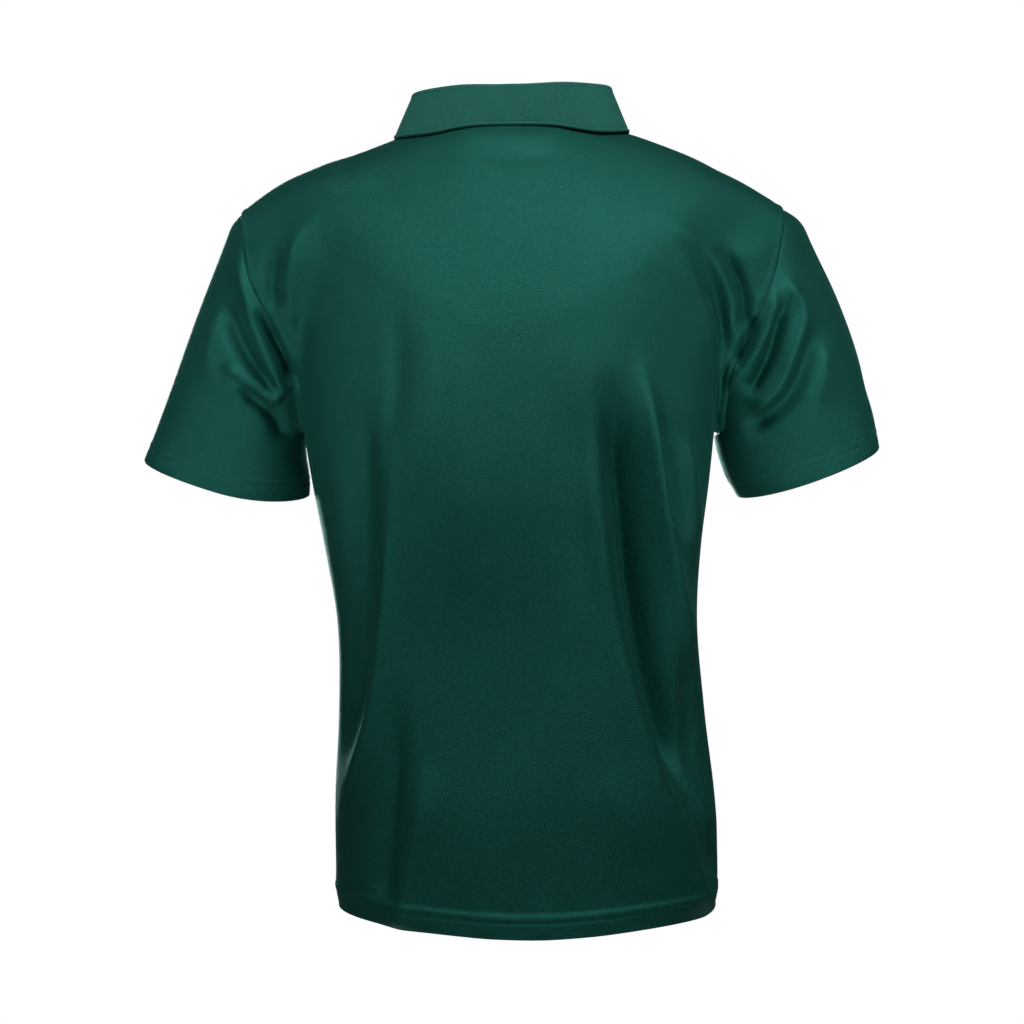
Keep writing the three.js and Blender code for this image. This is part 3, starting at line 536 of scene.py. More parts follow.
BACK_FORM = fine_grid(body_edges("back"), BODY_ROWS, BODY_COLUMNS)
FRONT_FORM = fine_grid(body_edges("front"), BODY_ROWS, BODY_COLUMNS)
print("back grid:", BACK_FORM.shape[:2], "furthest off the form:",
      round(float(np.abs(form("body", BACK_FORM)).max()), 3), "mm")

# %% [markdown]
# ## Folds
#
# Worn cloth hangs in long soft folds from the shoulder blades to the hem and in short tight ones in the
# armpits. A cloth simulation would give folds of its own; these have to be where the photograph shows
# them. So each fold is a line on the shirt, seen from behind or from in front, that lifts the cloth or
# sinks it, with a soft slope on one side and a steeper one on the other.

# %% Folds, one in each row
# height, width to the wearer's left and right, shares that fade in and out, path as (x, z)
FOLDS = {
    "back": [
        (7, 26, 15, 0.35, 0.05,
         [(-57, -168), (-71, -259), (-83, -393), (-105, -490), (-136, -586), (-163, -672), (-168, -700)]),
        (-18, 17, 14, 0.25, 0.2,
         [(-84, -205), (-96, -309), (-108, -396), (-124, -470), (-146, -545), (-162, -620)]),
        (9.5, 7, 8, 0.25, 0.45,
         [(-109, -190), (-115, -229), (-125, -308), (-140, -395), (-155, -448), (-172, -531)]),
        (-7, 7, 7, 0.3, 0.3, [(-127, -245), (-135, -281), (-141, -326), (-153, -366), (-164, -404)]),
        (4, 6, 7, 0.3, 0.3, [(-150, -262), (-154, -300), (-160, -345), (-164, -380)]),
        (-5, 8, 8, 0.3, 0.3, [(-150, -440), (-160, -500), (-166, -560), (-170, -610)]),
        (-3, 22, 14, 0.4, 0.4, [(-43, -190), (-55, -290), (-62, -380), (-72, -450)]),
        (4, 62, 70, 0.4, 0.4, [(46, -120), (46, -240), (42, -350), (34, -470)]),
        (3, 8, 10, 0.35, 0.35, [(-150, -520), (-158, -552), (-178, -622), (-184, -650)]),
        (-3, 9, 10, 0.3, 0.3, [(-148, -575), (-163, -615), (-176, -668)]),
        (9, 9, 22, 0.3, 0.25,
         [(88, -190), (99, -283), (104, -378), (112, -470), (122, -530), (141, -580), (158, -632)]),
        (-3.5, 9, 10, 0.3, 0.35, [(97, -140), (97, -220), (99, -300), (100, -380), (104, -440)]),
        (-8, 15, 10, 0.3, 0.25, [(122, -230), (128, -320), (132, -410), (138, -500), (152, -570)]),
        (2.2, 26, 20, 0.4, 0.4, [(72, -130), (72, -200), (70, -280), (68, -340)]),
        (4.5, 11, 16, 0.4, 0.05, [(72, -545), (79, -602), (88, -652), (94, -683), (96, -700)]),
        (-4, 10, 9, 0.4, 0.1, [(97, -470), (101, -560), (106, -620), (112, -680)]),
        (1.2, 26, 26, 0.4, 0.4, [(-70, -560), (-98, -602), (-126, -640)]),
        (5.5, 15, 8, 0.55, 0.2, [(-104, -70), (-140, -88), (-172, -114), (-192, -150), (-194, -192)]),
        (-6, 6, 7, 0.35, 0.2, [(-176, -98), (-194, -124), (-203, -150), (-204, -180)]),
        (3.5, 9, 8, 0.35, 0.3, [(-130, -104), (-152, -132), (-168, -166), (-182, -204)]),
        (-3, 8, 8, 0.5, 0.3, [(-146, -92), (-168, -124), (-182, -160), (-188, -200)]),
        (4.5, 7, 14, 0.35, 0.2, [(160, -80), (178, -88), (189, -106), (194, -146), (193, -186)]),
        (-4.5, 7, 7, 0.3, 0.25, [(206, -98), (208, -112), (212, -136), (206, -164)]),
        (2, 14, 14, 0.4, 0.4, [(50, -8), (20, -11), (-6, -12), (-32, -10), (-56, -7)]),
        (-2.4, 7, 7, 0.4, 0.4, [(46, -20), (23, -27), (-5, -30), (-34, -27), (-52, -19)]),
        (5.5, 7, 7, 0.3, 0.15,
         [(245, -92), (240, -116), (234, -140), (226, -170), (211, -210), (199, -238)]),
        (-7, 6, 6, 0.3, 0.15, [(226, -156), (214, -178), (201, -204), (195, -226)]),
        (-6, 7, 6, 0.3, 0.15, [(256, -146), (248, -172), (235, -198), (207, -236)]),
        (5, 7, 6, 0.25, 0.15, [(258, -202), (248, -209), (227, -223), (203, -239)]),
        (-5.5, 8, 7, 0.3, 0.2, [(246, -222), (228, -238), (210, -254), (200, -276)]),
        (2.5, 12, 12, 0.35, 0.3, [(262, -150), (268, -190), (266, -230)]),
        (5.5, 6, 6, 0.25, 0.15, [(-228, -130), (-230, -150), (-224, -175), (-207, -206), (-189, -230)]),
        (-7, 6, 6, 0.25, 0.15, [(-240, -148), (-238, -162), (-226, -204), (-208, -234)]),
        (6, 7, 8, 0.1, 0.15,
         [(-236, -147), (-243, -140), (-252, -149), (-256, -164), (-248, -194), (-236, -225), (-209, -250)]),
        (-6, 8, 9, 0.3, 0.15, [(-268, -170), (-262, -200), (-246, -236), (-219, -258), (-206, -268)]),
        (-5, 6, 6, 0.3, 0.15, [(-212, -160), (-208, -184), (-196, -208)]),
        (3, 12, 12, 0.3, 0.3, [(-278, -180), (-276, -220), (-262, -256)]),
    ],
    "front": [
        (5, 14, 22, 0.35, 0.05,
         [(86, -240), (98, -330), (104, -420), (114, -520), (132, -620), (140, -700)]),
        (5, 22, 14, 0.35, 0.05,
         [(-92, -230), (-100, -330), (-108, -430), (-126, -540), (-150, -640), (-160, -700)]),
        (-6, 14, 10, 0.35, 0.3, [(112, -300), (122, -380), (130, -470), (146, -560)]),
        (-6, 10, 14, 0.35, 0.3, [(-118, -300), (-126, -390), (-138, -480), (-156, -570)]),
        (3, 18, 18, 0.35, 0.3, [(30, -300), (42, -400), (46, -500), (52, -600)]),
        (-2.5, 16, 16, 0.35, 0.3, [(-34, -320), (-44, -420), (-52, -520), (-70, -620)]),
        (5, 9, 16, 0.35, 0.2, [(150, -120), (178, -150), (190, -190), (188, -220)]),
        (5, 16, 9, 0.35, 0.2, [(-150, -120), (-178, -150), (-190, -190), (-188, -220)]),
        (-5, 7, 7, 0.3, 0.2, [(172, -110), (198, -142), (206, -176)]),
        (-5, 7, 7, 0.3, 0.2, [(-172, -110), (-198, -142), (-206, -176)]),
        (-6, 8, 7, 0.3, 0.15, [(244, -150), (232, -196), (208, -236)]),
        (-6, 7, 8, 0.3, 0.15, [(-250, -150), (-236, -196), (-210, -236)]),
        (5, 7, 7, 0.3, 0.15, [(258, -160), (248, -204), (222, -246)]),
        (5, 7, 7, 0.3, 0.15, [(-264, -160), (-252, -204), (-224, -246)]),
    ],
}
FOLD_STEPS = 24
FOLD_DEPTH = {"ridge": 1.4, "trough": 1.6}
CREST = 3.5
FLANK = 0.8
FACE_TURN = (0.05, 0.5)


def curve_through(points, steps):
    """A smooth curve through points in the plane, in even steps."""
    points = np.array(points, float)
    cells = len(points) - 1
    fine = finer(len(points), np.linspace(0, cells, 12 * cells + 1)) @ points
    s = np.concatenate([[0], np.cumsum(np.linalg.norm(np.diff(fine, axis=0), axis=1))])
    at = np.linspace(0, s[-1], steps + 1)
    return np.stack([np.interp(at, s, fine[:, k]) for k in (0, 1)], axis=-1)


def fold_height(p, normal):
    """How far the folds lift the cloth at each point."""
    flat = p.reshape(-1, 3)
    facing = normal.reshape(-1, 3)[:, 1]
    total = np.zeros(len(flat))
    folds = [(face, *fold) for face, rows in FOLDS.items() for fold in rows]
    for face, height, left, right, starts, ends, path in folds:
        line = curve_through(path, FOLD_STEPS)
        turned = smooth(*FACE_TURN, facing if face == "back" else -facing)
        reach = 4 * max(left, right)
        low, high = line.min(axis=0) - reach, line.max(axis=0) + reach
        near = np.nonzero(
            (turned > 0) & (flat[:, 0] > low[0]) & (flat[:, 0] < high[0])
            & (flat[:, 2] > low[1]) & (flat[:, 2] < high[1])
        )[0]
        spot = flat[near][:, None, [0, 2]]
        start, step = line[:-1], np.diff(line, axis=0)
        t = np.clip(((spot - start) * step).sum(-1) / (step**2).sum(-1), 0, 1)
        away = spot - start - t[..., None] * step
        distance = np.hypot(away[..., 0], away[..., 1])
        best = distance.argmin(axis=1)
        pick = (np.arange(len(near)), best)
        share = (best + t[pick]) / FOLD_STEPS
        side = step[best, 0] * away[pick][:, 1] - step[best, 1] * away[pick][:, 0]
        width = np.where(side > 0, left, right)
        fade = smooth(0, starts, share) * smooth(0, ends, 1 - share)
        if height > 0:
            bend = np.hypot(distance[pick], CREST) - CREST
            profile = FOLD_DEPTH["ridge"] * np.exp(-bend / (FLANK * width))
        else:
            profile = FOLD_DEPTH["trough"] * np.exp(-((distance[pick] / width) ** 2))
        total[near] += turned[near] * height * fade * profile
    return total.reshape(p.shape[:-1])


# %% [markdown]
# ## Cloth walls
#
# Every piece becomes a closed wall: the outer face, the inner face a cloth's thickness below it, and a rim
# all round. The thickness is that of the cloth, and more where the hem is turned up inside.

# %% Seams, hems and the two faces of a piece
CLOTH = 1.4
HEM_CLOTH = 2.6
HEM_ROWS = (14.0, 20.0)
HEM_DEPTH = 21.5
HEM_LIFT = 0.45
HEM_STEP = 1.5
HEM_TUCK = {"depth": 4.0, "height": 26.0}
STITCH_GROOVE = (0.5, 1.1)
SEAM_GROOVE = (1.1, 1.3)
ALLOWANCE = {"reach": 6.5, "lift": 0.5, "rise": (0.8, 2.2), "fall": (-1.2, 1.6)}
ROPING = {"height": 0.35, "length": 11.0, "drift": 2.2, "drift_length": 47.0, "starts": 8, "ends": 14}
EDGE_ROUNDING = {"share": 0.6, "depth": 0.5}
STILL_NEAR_SEAM = 25
SHARP_FROM = 50
RIPPLES = [
    (0.55, (0.018, 0.011, 0.013), 0.4),
    (0.4, (-0.031, 0.019, 0.022), 2.1),
    (0.25, (0.052, -0.03, 0.041), 4.4),
]


def dip(distance, depth, width):
    return -depth * np.exp(-((distance / width) ** 2))


def arcs(grid, axis):
    step = np.linalg.norm(np.diff(grid, axis=axis), axis=-1)
    start = np.zeros_like(np.take(step, [0], axis=axis))
    return np.concatenate([start, np.cumsum(step, axis=axis)], axis=axis)


def round_trip(grid):
    return np.concatenate([grid, grid[:, :1]], axis=1)


def ripple(p):
    return sum(height * np.sin(p @ np.array(wave) + phase) for height, wave, phase in RIPPLES)


def facing_out(grid, around=False):
    """The normals of a grid of points, out of the cloth where rows go up and columns to the left."""
    if around:
        across = np.roll(grid, -1, axis=1) - np.roll(grid, 1, axis=1)
    else:
        across = np.gradient(grid, axis=1)
    return unit(np.cross(np.gradient(grid, axis=0), across))


def hem_relief(rise, run):
    """What the turned-up hem does to the outer face: a step and two sunken rows of stitches."""
    lift = HEM_LIFT * (1 - smooth(HEM_ROWS[1] - 1.0, HEM_DEPTH + 1.0, rise))
    drift = ROPING["drift"] * np.sin(run / ROPING["drift_length"])
    rope = ROPING["height"] * np.sin(run / ROPING["length"] + drift)
    fade = smooth(0, ROPING["starts"], rise) * (1 - smooth(HEM_ROWS[1], HEM_DEPTH + ROPING["ends"], rise))
    return lift + rope * fade + sum(dip(rise - row, *STITCH_GROOVE) for row in HEM_ROWS)


def hem_thickness(rise):
    return mix(HEM_CLOTH, CLOTH, smooth(HEM_ROWS[1], HEM_DEPTH + HEM_STEP, rise))


def rounded_edge(distance, thickness):
    """How far the outer face turns in towards a folded edge."""
    near = np.clip(1 - distance / (thickness * EDGE_ROUNDING["share"]), 0, 1)
    return -EDGE_ROUNDING["depth"] * thickness * near**2


def wall(name, outer, inner, cloth, around=False, keep=None):
    """A closed mesh between two grids of points, with the cloth's own coordinates on its points."""
    rows, columns = outer.shape[:2]
    index = np.arange(2 * rows * columns).reshape(2, rows, columns)
    if around:
        index = np.concatenate([index, index[:, :, :1]], axis=2)
    cells = np.ones((rows - 1, index.shape[2] - 1), bool) if keep is None else keep
    padded = np.pad(cells, 1)
    if around:
        padded[:, 0], padded[:, -1] = padded[:, -2], padded[:, 1]
    here = padded[1:-1, 1:-1]

    def quads(mask, *corners):
        return np.stack([index[k, j:j + rows - 1, i:i + mask.shape[1]][mask] for k, j, i in corners], axis=-1)

    faces = np.concatenate([
        quads(here, (0, 0, 0), (0, 0, 1), (0, 1, 1), (0, 1, 0)),
        quads(here, (1, 0, 0), (1, 1, 0), (1, 1, 1), (1, 0, 1)),
        quads(here & ~padded[:-2, 1:-1], (0, 0, 0), (1, 0, 0), (1, 0, 1), (0, 0, 1)),
        quads(here & ~padded[2:, 1:-1], (0, 1, 0), (0, 1, 1), (1, 1, 1), (1, 1, 0)),
        quads(here & ~padded[1:-1, :-2], (0, 0, 0), (0, 1, 0), (1, 1, 0), (1, 0, 0)),
        quads(here & ~padded[1:-1, 2:], (0, 0, 1), (1, 0, 1), (1, 1, 1), (0, 1, 1)),
    ])
    points = np.concatenate([outer.reshape(-1, 3), inner.reshape(-1, 3)]) * MM
    marks = np.concatenate([cloth.reshape(-1, 3)] * 2) * MM
    used, faces = np.unique(faces, return_inverse=True)
    faces = faces.reshape(-1, 4)
    points, marks = points[used], marks[used]
    a, b, c, d = (points[faces[:, k]] for k in range(4))
    if (np.cross(c - a, d - b) * (a + b + c + d)).sum() < 0:
        faces = faces[:, ::-1]
    return mesh_object(name, points, faces, marks)


def mesh_object(name, points, faces, marks):
    mesh = bpy.data.meshes.new(name)
    mesh.from_pydata(points, [], faces.tolist())
    attribute = mesh.attributes.new("cloth", "FLOAT_VECTOR", "POINT")
    attribute.data.foreach_set("vector", marks.ravel())
    mesh.shade_smooth()
    mesh.set_sharp_from_angle(angle=np.radians(SHARP_FROM))
    made = add_object(name, mesh)
    count_triangles(made)
    return made


# %% [markdown]
# ## Back and front
#
# Both are cut in one piece. The seam allowance of the armhole lies under the body's cloth and lifts it a
# little, up to the row of stitches that holds it down. Seams sink in. The front is slit down from the neck
# for the opening.

# %% Body pieces
OPENING = {"half": 15, "depth": 150, "fades": 420, "spread": 4}
SIDE_TOP = int(np.searchsorted(BODY_ROWS, SIDE_CELLS - 1e-6))
MIDDLE = len(BODY_COLUMNS) // 2


def body_faces(grid):
    normal = unit(outward("body", grid))
    across, rise = arcs(grid, 1), arcs(grid, 0)
    left, right = across, across[:, -1:] - across
    down = rise[-1:] - rise
    run = across - across[:, MIDDLE:MIDDLE + 1]
    beside_arm = (np.arange(len(grid)) >= SIDE_TOP)[:, None]
    seam = np.minimum(left, right)
    lift = fold_height(grid, normal)
    lift = lift + ripple(grid) * smooth(0, STILL_NEAR_SEAM, np.minimum(seam, down))
    lift += dip(seam, *SEAM_GROOVE) + dip(down, *SEAM_GROOVE)
    reach = ALLOWANCE["reach"]
    starts, ends = (reach + step for step in ALLOWANCE["fall"])
    held = smooth(*ALLOWANCE["rise"], seam) * (1 - smooth(starts, ends, seam))
    lift += np.where(beside_arm, ALLOWANCE["lift"] * held + dip(seam - reach, *STITCH_GROOVE), 0)
    lift += hem_relief(rise, run)
    lift -= HEM_TUCK["depth"] * (1 - smooth(0, HEM_TUCK["height"], rise)) * normal[..., 0] ** 2
    outer = grid + normal * (lift + rounded_edge(rise, HEM_CLOTH))[..., None]
    sunk = grid + normal * lift[..., None]
    inner = sunk - facing_out(sunk) * hem_thickness(rise)[..., None]
    cloth = np.stack([run, rise, np.minimum(seam, down)], axis=-1)
    return outer, inner, cloth


def half_opening(grid):
    """Moves the front's middle columns so that two of them run down the edges of the opening."""
    depth = arcs(grid, 0)
    depth = depth[-1, MIDDLE] - depth[:, MIDDLE]
    foot = int(np.argmin(np.abs(depth - OPENING["depth"])))
    step = int(np.argmin(np.abs(grid[-1, :, 0] - OPENING["half"])))
    edge = MIDDLE - step
    marks = MIDDLE + edge * np.array([-OPENING["spread"], -1, 0, 1, OPENING["spread"]])
    wanted = np.array([0, OPENING["half"], 0, -OPENING["half"], 0], float)
    columns = np.arange(marks[0], marks[-1] + 1)
    strength = smooth(OPENING["fades"], OPENING["depth"], depth)
    strength[foot:] = 1
    moved = grid.copy()
    for j in range(1, len(grid)):
        off = wanted - grid[j, marks, 0]
        off[[0, -1]] = 0
        moved[j, columns, 0] += strength[j] * np.interp(columns, marks, off)
    moved[1:, columns] = onto_form("body", moved[1:, columns], hold_x=True)
    return moved, foot, edge


FRONT_FORM, FOOT, EDGE = half_opening(FRONT_FORM)
BACK_OUTER, BACK_INNER, BACK_CLOTH = body_faces(BACK_FORM)
FRONT_OUTER, FRONT_INNER, FRONT_CLOTH = body_faces(FRONT_FORM)
front_cells = np.ones((len(BODY_ROWS) - 1, len(BODY_COLUMNS) - 1), bool)
front_cells[FOOT:, MIDDLE - EDGE:MIDDLE + EDGE] = False
back = wall("back_cloth", BACK_OUTER, BACK_INNER, BACK_CLOTH)
front = wall("front_cloth", FRONT_OUTER, FRONT_INNER, FRONT_CLOTH, keep=front_cells)

# %% [markdown]
# ## Sleeves
#
# A sleeve is cut flat and sewn into a tube, and its top edge is sewn into the armhole. So its columns
# start at the very points of the armhole seam and run down to the cuff.

# %% Sleeves
SLEEVE_ROUND = 8 * ARM_CELLS
SLEEVE_HEM_STARTS = 0.89
SLEEVE_ROWS = np.concatenate([
    np.linspace(0, SLEEVE_HEM_STARTS, 62)[:-1], np.linspace(SLEEVE_HEM_STARTS, 1, 17),
])
SLEEVE_EVENING = {"turns": 30, "share": 0.5}


def cuff_ring(side, angle):
    f = FRAMES[side]
    slope = np.radians(f["tilt"])
    outwards = np.array((np.sign(f["out"][0]) * np.cos(slope), 0, np.sin(slope)))
    across = -np.cos(angle)
    wide = np.where(across > 0, *(read(SLEEVE_SECTIONS, side + end, 1) for end in ("_out", "_in")))
    deep = read(SLEEVE_SECTIONS, "deep", 1)
    p = (f["end"] + (across * wide)[:, None] * outwards + (np.sin(angle) * deep)[:, None] * f["back"]
         - (f["rise"] * np.maximum(-across, 0) ** 2)[:, None] * f["down"])
    return onto_form("sleeve", p)


def sleeve_faces(side):
    at = np.linspace(0, 1, SLEEVE_ROUND + 1)
    behind, before = (along(armhole(side, face), at) for face in ("back", "front"))
    ring = np.vstack([behind[:-1], before[::-1][:-1]])
    end = cuff_ring(side, 2 * np.pi * np.arange(2 * SLEEVE_ROUND) / (2 * SLEEVE_ROUND))
    grid = mix(ring[None], end[None], SLEEVE_ROWS[:, None, None])
    grid[1:-1] = onto_form("sleeve", grid[1:-1])
    for _ in range(SLEEVE_EVENING["turns"]):
        inner = grid[1:-1]
        middle = (grid[:-2] + grid[2:] + np.roll(inner, 1, axis=1) + np.roll(inner, -1, axis=1)) / 4
        grid[1:-1] = mix(inner, middle, SLEEVE_EVENING["share"])
    grid[1:-1] = onto_form("sleeve", grid[1:-1])
    normal = unit(outward("sleeve", grid))
    down = arcs(grid, 0)
    rise = down[-1:] - down
    run = arcs(round_trip(grid), 1)[:, :-1]
    lift = fold_height(grid, normal) + ripple(grid) * smooth(0, STILL_NEAR_SEAM, down)
    lift += dip(down, *SEAM_GROOVE) + hem_relief(rise, run)
    outer = grid + normal * (lift + rounded_edge(rise, HEM_CLOTH))[..., None]
    sunk = grid + normal * lift[..., None]
    out = facing_out(sunk, around=True)
    out *= np.sign((out * normal).sum())
    inner = sunk - out * hem_thickness(rise)[..., None]
    return outer, inner, np.stack([run, rise, down], axis=-1)


sleeves = {}
SLEEVE_GRIDS = {}
for side in ("left", "right"):
    SLEEVE_GRIDS[side] = sleeve_faces(side)
    sleeves[side] = wall(f"sleeve_{side}_cloth", *SLEEVE_GRIDS[side], around=True)

# %% [markdown]
# ## Collar
#
# A knitted collar is one strip with a finished edge. It stands up from the neck seam, folds over and lies
# on the shirt. It is drawn as many upright sections round the neck, each from the seam over the fold to
# the loose edge, where a thicker welt ends the knitting.

# %% Collar sizes
COLLAR = table("at stand lean edge_x edge_y lift", [
    (0, 19, 6, 32, -94, 0),
    (0.12, 22, 8, 58, -76, 0),
    (0.3, 29, 7, 90, -42, 0),
    (0.5, 35, 6.2, 104.5, 2, 0),
    (0.62, 34.5, 6, 99, 32, 0.7),
    (0.78, 33, 5.5, 70, 58, 1.5),
    (0.9, 31.5, 5.5, 32, 68, 0.5),
    (1, 31, 5, 0, 70, 0),
])
COLLAR_FRONT_X = 1.5
COLLAR_TILT = 0.022
COLLAR_CLEAR = 1.4
COLLAR_CLOTH = 2.0
COLLAR_SEAT = 0.5
COLLAR_OVER_BAND = {"rise": 2.6, "near_x": 19, "far_x": 28}
FOLD_RADIUS = 2.4
LEAF_BULGE = 0.3
WELT = {"width": 2.4, "lift": 0.55, "inside": 0.4, "starts": -0.6, "ends": 0.4}
WELT_GROOVE = {"beyond": 0.7, "depth": 0.35, "width": 0.6}
COLLAR_RIPPLE = 0.4
COLLAR_INNER_ROUNDING = 0.7
COLLAR_LEAN_AWAY = (1, 1.3, 0)
COLLAR_ROUND = 150
STAND_STEPS, TURN_STEPS, LEAF_STEPS = 8, 12, 44
UP = np.array((0, 0, 1.0))


# %% Collar
def collar_half(side):
    """The middle lines of the collar's sections, from the front end to the middle of the back."""
    line = np.vstack([neck_line(side, "front", COLLAR_FRONT_X)[::-1], neck_line(side, "back")[1:]])
    at = np.linspace(0, 1, COLLAR_ROUND + 1)
    seam = along(line, at)
    sign = 1 if side == "left" else -1
    normal = unit(outward("body", seam))
    away = unit(seam * COLLAR_LEAN_AWAY)
    band = COLLAR_OVER_BAND
    over_band = smooth(band["far_x"], band["near_x"], np.abs(seam[:, 0])) * (seam[:, 1] < 0)
    foot = seam + normal * (COLLAR_SEAT + band["rise"] * over_band)[:, None]
    stand = read(COLLAR, "stand", at) - COLLAR_TILT * seam[:, 0]
    fold = foot + away * read(COLLAR, "lean", at)[:, None] + UP * stand[:, None]
    ground = on_top_at(sign * read(COLLAR, "edge_x", at), read(COLLAR, "edge_y", at))
    out = unit(outward("body", ground))
    rise = fold_height(ground, out) + COLLAR_CLEAR + COLLAR_CLOTH / 2 + read(COLLAR, "lift", at)
    edge = ground + out * rise[:, None]
    return collar_section(foot, fold, edge)


def on_top_at(x, y):
    """Points on top of the form straight above the places x, y."""
    high = np.full(len(x), float(ROOF["high"]))
    low = np.full(len(x), float(ROOF["low"]))
    for _ in range(30):
        middle = (low + high) / 2
        out = form("body", np.stack([x, y, middle], axis=-1)) > 0
        high, low = np.where(out, middle, high), np.where(out, low, middle)
    return np.stack([x, y, high], axis=-1)


def collar_section(foot, fold, edge):
    up = unit(fold - foot)
    down = edge - fold
    out = unit(down - (down * up).sum(-1, keepdims=True) * up)
    top = fold - up * FOLD_RADIUS
    centre = top + out * FOLD_RADIUS
    leaf_start = centre + out * FOLD_RADIUS
    points = [mix(foot, top, s) for s in np.linspace(0, 1, STAND_STEPS + 1)[:-1]]
    for angle in np.linspace(np.pi, 0, TURN_STEPS + 1)[:-1]:
        points.append(centre + out * FOLD_RADIUS * np.cos(angle) + up * FOLD_RADIUS * np.sin(angle))
    for s in np.linspace(0, 1, LEAF_STEPS + 1):
        points.append(mix(leaf_start, edge, s) + out * LEAF_BULGE * np.sin(np.pi * s))
    return np.stack(points, axis=1)


left_half, right_half = collar_half("left"), collar_half("right")
COLLAR_GRID = np.concatenate([left_half, right_half[::-1][1:]]).transpose(1, 0, 2)
leaf = arcs(COLLAR_GRID, 0)
to_edge = leaf[-1:] - leaf
collar_run = arcs(COLLAR_GRID, 1)
collar_run -= collar_run[:, COLLAR_ROUND:COLLAR_ROUND + 1]
collar_out = facing_out(COLLAR_GRID)
if collar_out[-2, COLLAR_ROUND, 1] < 0:
    collar_out = -collar_out
starts, ends = (WELT["width"] + WELT[k] for k in ("starts", "ends"))
welt = WELT["lift"] * (1 - smooth(starts, ends, to_edge))
welt += dip(to_edge - WELT["width"] - WELT_GROOVE["beyond"], WELT_GROOVE["depth"], WELT_GROOVE["width"])
from_left = arcs(COLLAR_GRID, 1)
edge_round = rounded_edge(to_edge, COLLAR_CLOTH)
end_round = rounded_edge(np.minimum(from_left, from_left[:, -1:] - from_left), COLLAR_CLOTH)
wave = ripple(COLLAR_GRID) * COLLAR_RIPPLE
above = COLLAR_CLOTH / 2 + welt + wave + edge_round + end_round
below = COLLAR_CLOTH / 2 + WELT["inside"] * welt + (edge_round + end_round) * COLLAR_INNER_ROUNDING - wave
COLLAR_OUTER = COLLAR_GRID + collar_out * above[..., None]
COLLAR_INNER = COLLAR_GRID - collar_out * below[..., None]
COLLAR_CLOTH_MARKS = np.stack([collar_run, leaf, to_edge], axis=-1)
collar = wall("collar_cloth", COLLAR_OUTER, COLLAR_INNER, COLLAR_CLOTH_MARKS)

# %% [markdown]
# ## Front opening
#
# Two bands fill the slit: the lower one behind it, the upper one over it, each a little wider than the
# slit. Both follow the front's own points, so they curve with the chest. The upper band is stitched down
# along its edges and across its foot.

# %% Bands
BAND = {"half": 16.5, "lift": 0.35, "cloth": 1.7, "clear": 0.3, "foot_rows": 2, "steps": 34}
BAND_STITCH = {"edge": 2.4, "box": 26.0, "box_fades": 3}


def band_grid(half, extra_rows):
    across = np.linspace(half, -half, BAND["steps"] + 1)
    rows = []
    for line in FRONT_FORM[FOOT - extra_rows:, MIDDLE - 3 * EDGE:MIDDLE + 3 * EDGE + 1]:
        x, *others = line[::-1].T
        rows.append(np.stack([across, *(np.interp(across, x, other) for other in others)], axis=-1))
    coarse = np.stack(rows)
    at = np.linspace(0, len(coarse) - 1, 3 * (len(coarse) - 1) + 1)
    fine = np.einsum("rj,jck->rck", finer(len(coarse), at), coarse)
    return onto_form("body", fine, hold_x=True)


def band(name, half, low, high, extra_rows, stitched):
    grid = band_grid(half, extra_rows)
    normal = unit(outward("body", grid))
    across, rise = arcs(grid, 1), arcs(grid, 0)
    side = np.minimum(across, across[:, -1:] - across)
    near = np.minimum(side, rise)
    base = fold_height(grid, normal)
    relief = rounded_edge(near, high - low)
    if stitched:
        relief = relief + sum(dip(away - BAND_STITCH["edge"], *STITCH_GROOVE) for away in (side, rise))
        box = dip(rise - BAND_STITCH["box"], *STITCH_GROOVE)
        relief = relief + box * smooth(0, BAND_STITCH["box_fades"], side)
    outer = grid + normal * (base + high + relief)[..., None]
    inner = grid + normal * (base + low)[..., None]
    cloth = np.stack([across - across[:, -1:] / 2, rise, near], axis=-1)
    return wall(name, outer, inner, cloth), outer


TOP_OF_BAND = BAND["lift"] + BAND["cloth"]
upper_band, BAND_OUTER = band(
    "upper_band_cloth", BAND["half"], BAND["lift"], TOP_OF_BAND, BAND["foot_rows"], True
)
lower_band, LOWER_OUTER = band(
    "lower_band_cloth", OPENING["half"] - BAND["clear"], -BAND["cloth"], 0, 0, False
)

# %% [markdown]
# ## Buttons
#
# Small moulded buttons with a rim, a dished middle and four holes. One round grid of points is pressed
# down for the dish and the holes, which needs no cutting and keeps the mesh clean.

# %% Buttons
BUTTON = {"radius": 5.75, "thick": 2.4, "rim": 0.7, "dish": 3.9, "dish_depth": 0.55, "seat": 0.3,
          "dish_edge": 0.5, "hole": 0.62, "hole_edge": (0.8, 1.2), "hole_depth": 1.3,
          "hole_from_middle": 1.25, "first": 19, "pitch": 45, "count": 3}
BUTTON_ROUND, BUTTON_RINGS = 72, 26


def button_places():
    line = FRONT_FORM[:, MIDDLE][::-1]
    s = lengths(line)
    spots = [BUTTON["first"] + k * BUTTON["pitch"] for k in range(BUTTON["count"])]
    at = onto_form("body", np.stack([np.interp(spots, s, line[:, k]) for k in range(3)], axis=-1))
    normal = unit(outward("body", at))
    return at + normal * (TOP_OF_BAND + BUTTON["seat"]), normal


def frame_at(normal):
    """Two directions in the cloth at a point: across and up."""
    across = unit(np.cross(normal, UP))
    return across, np.cross(normal, across)


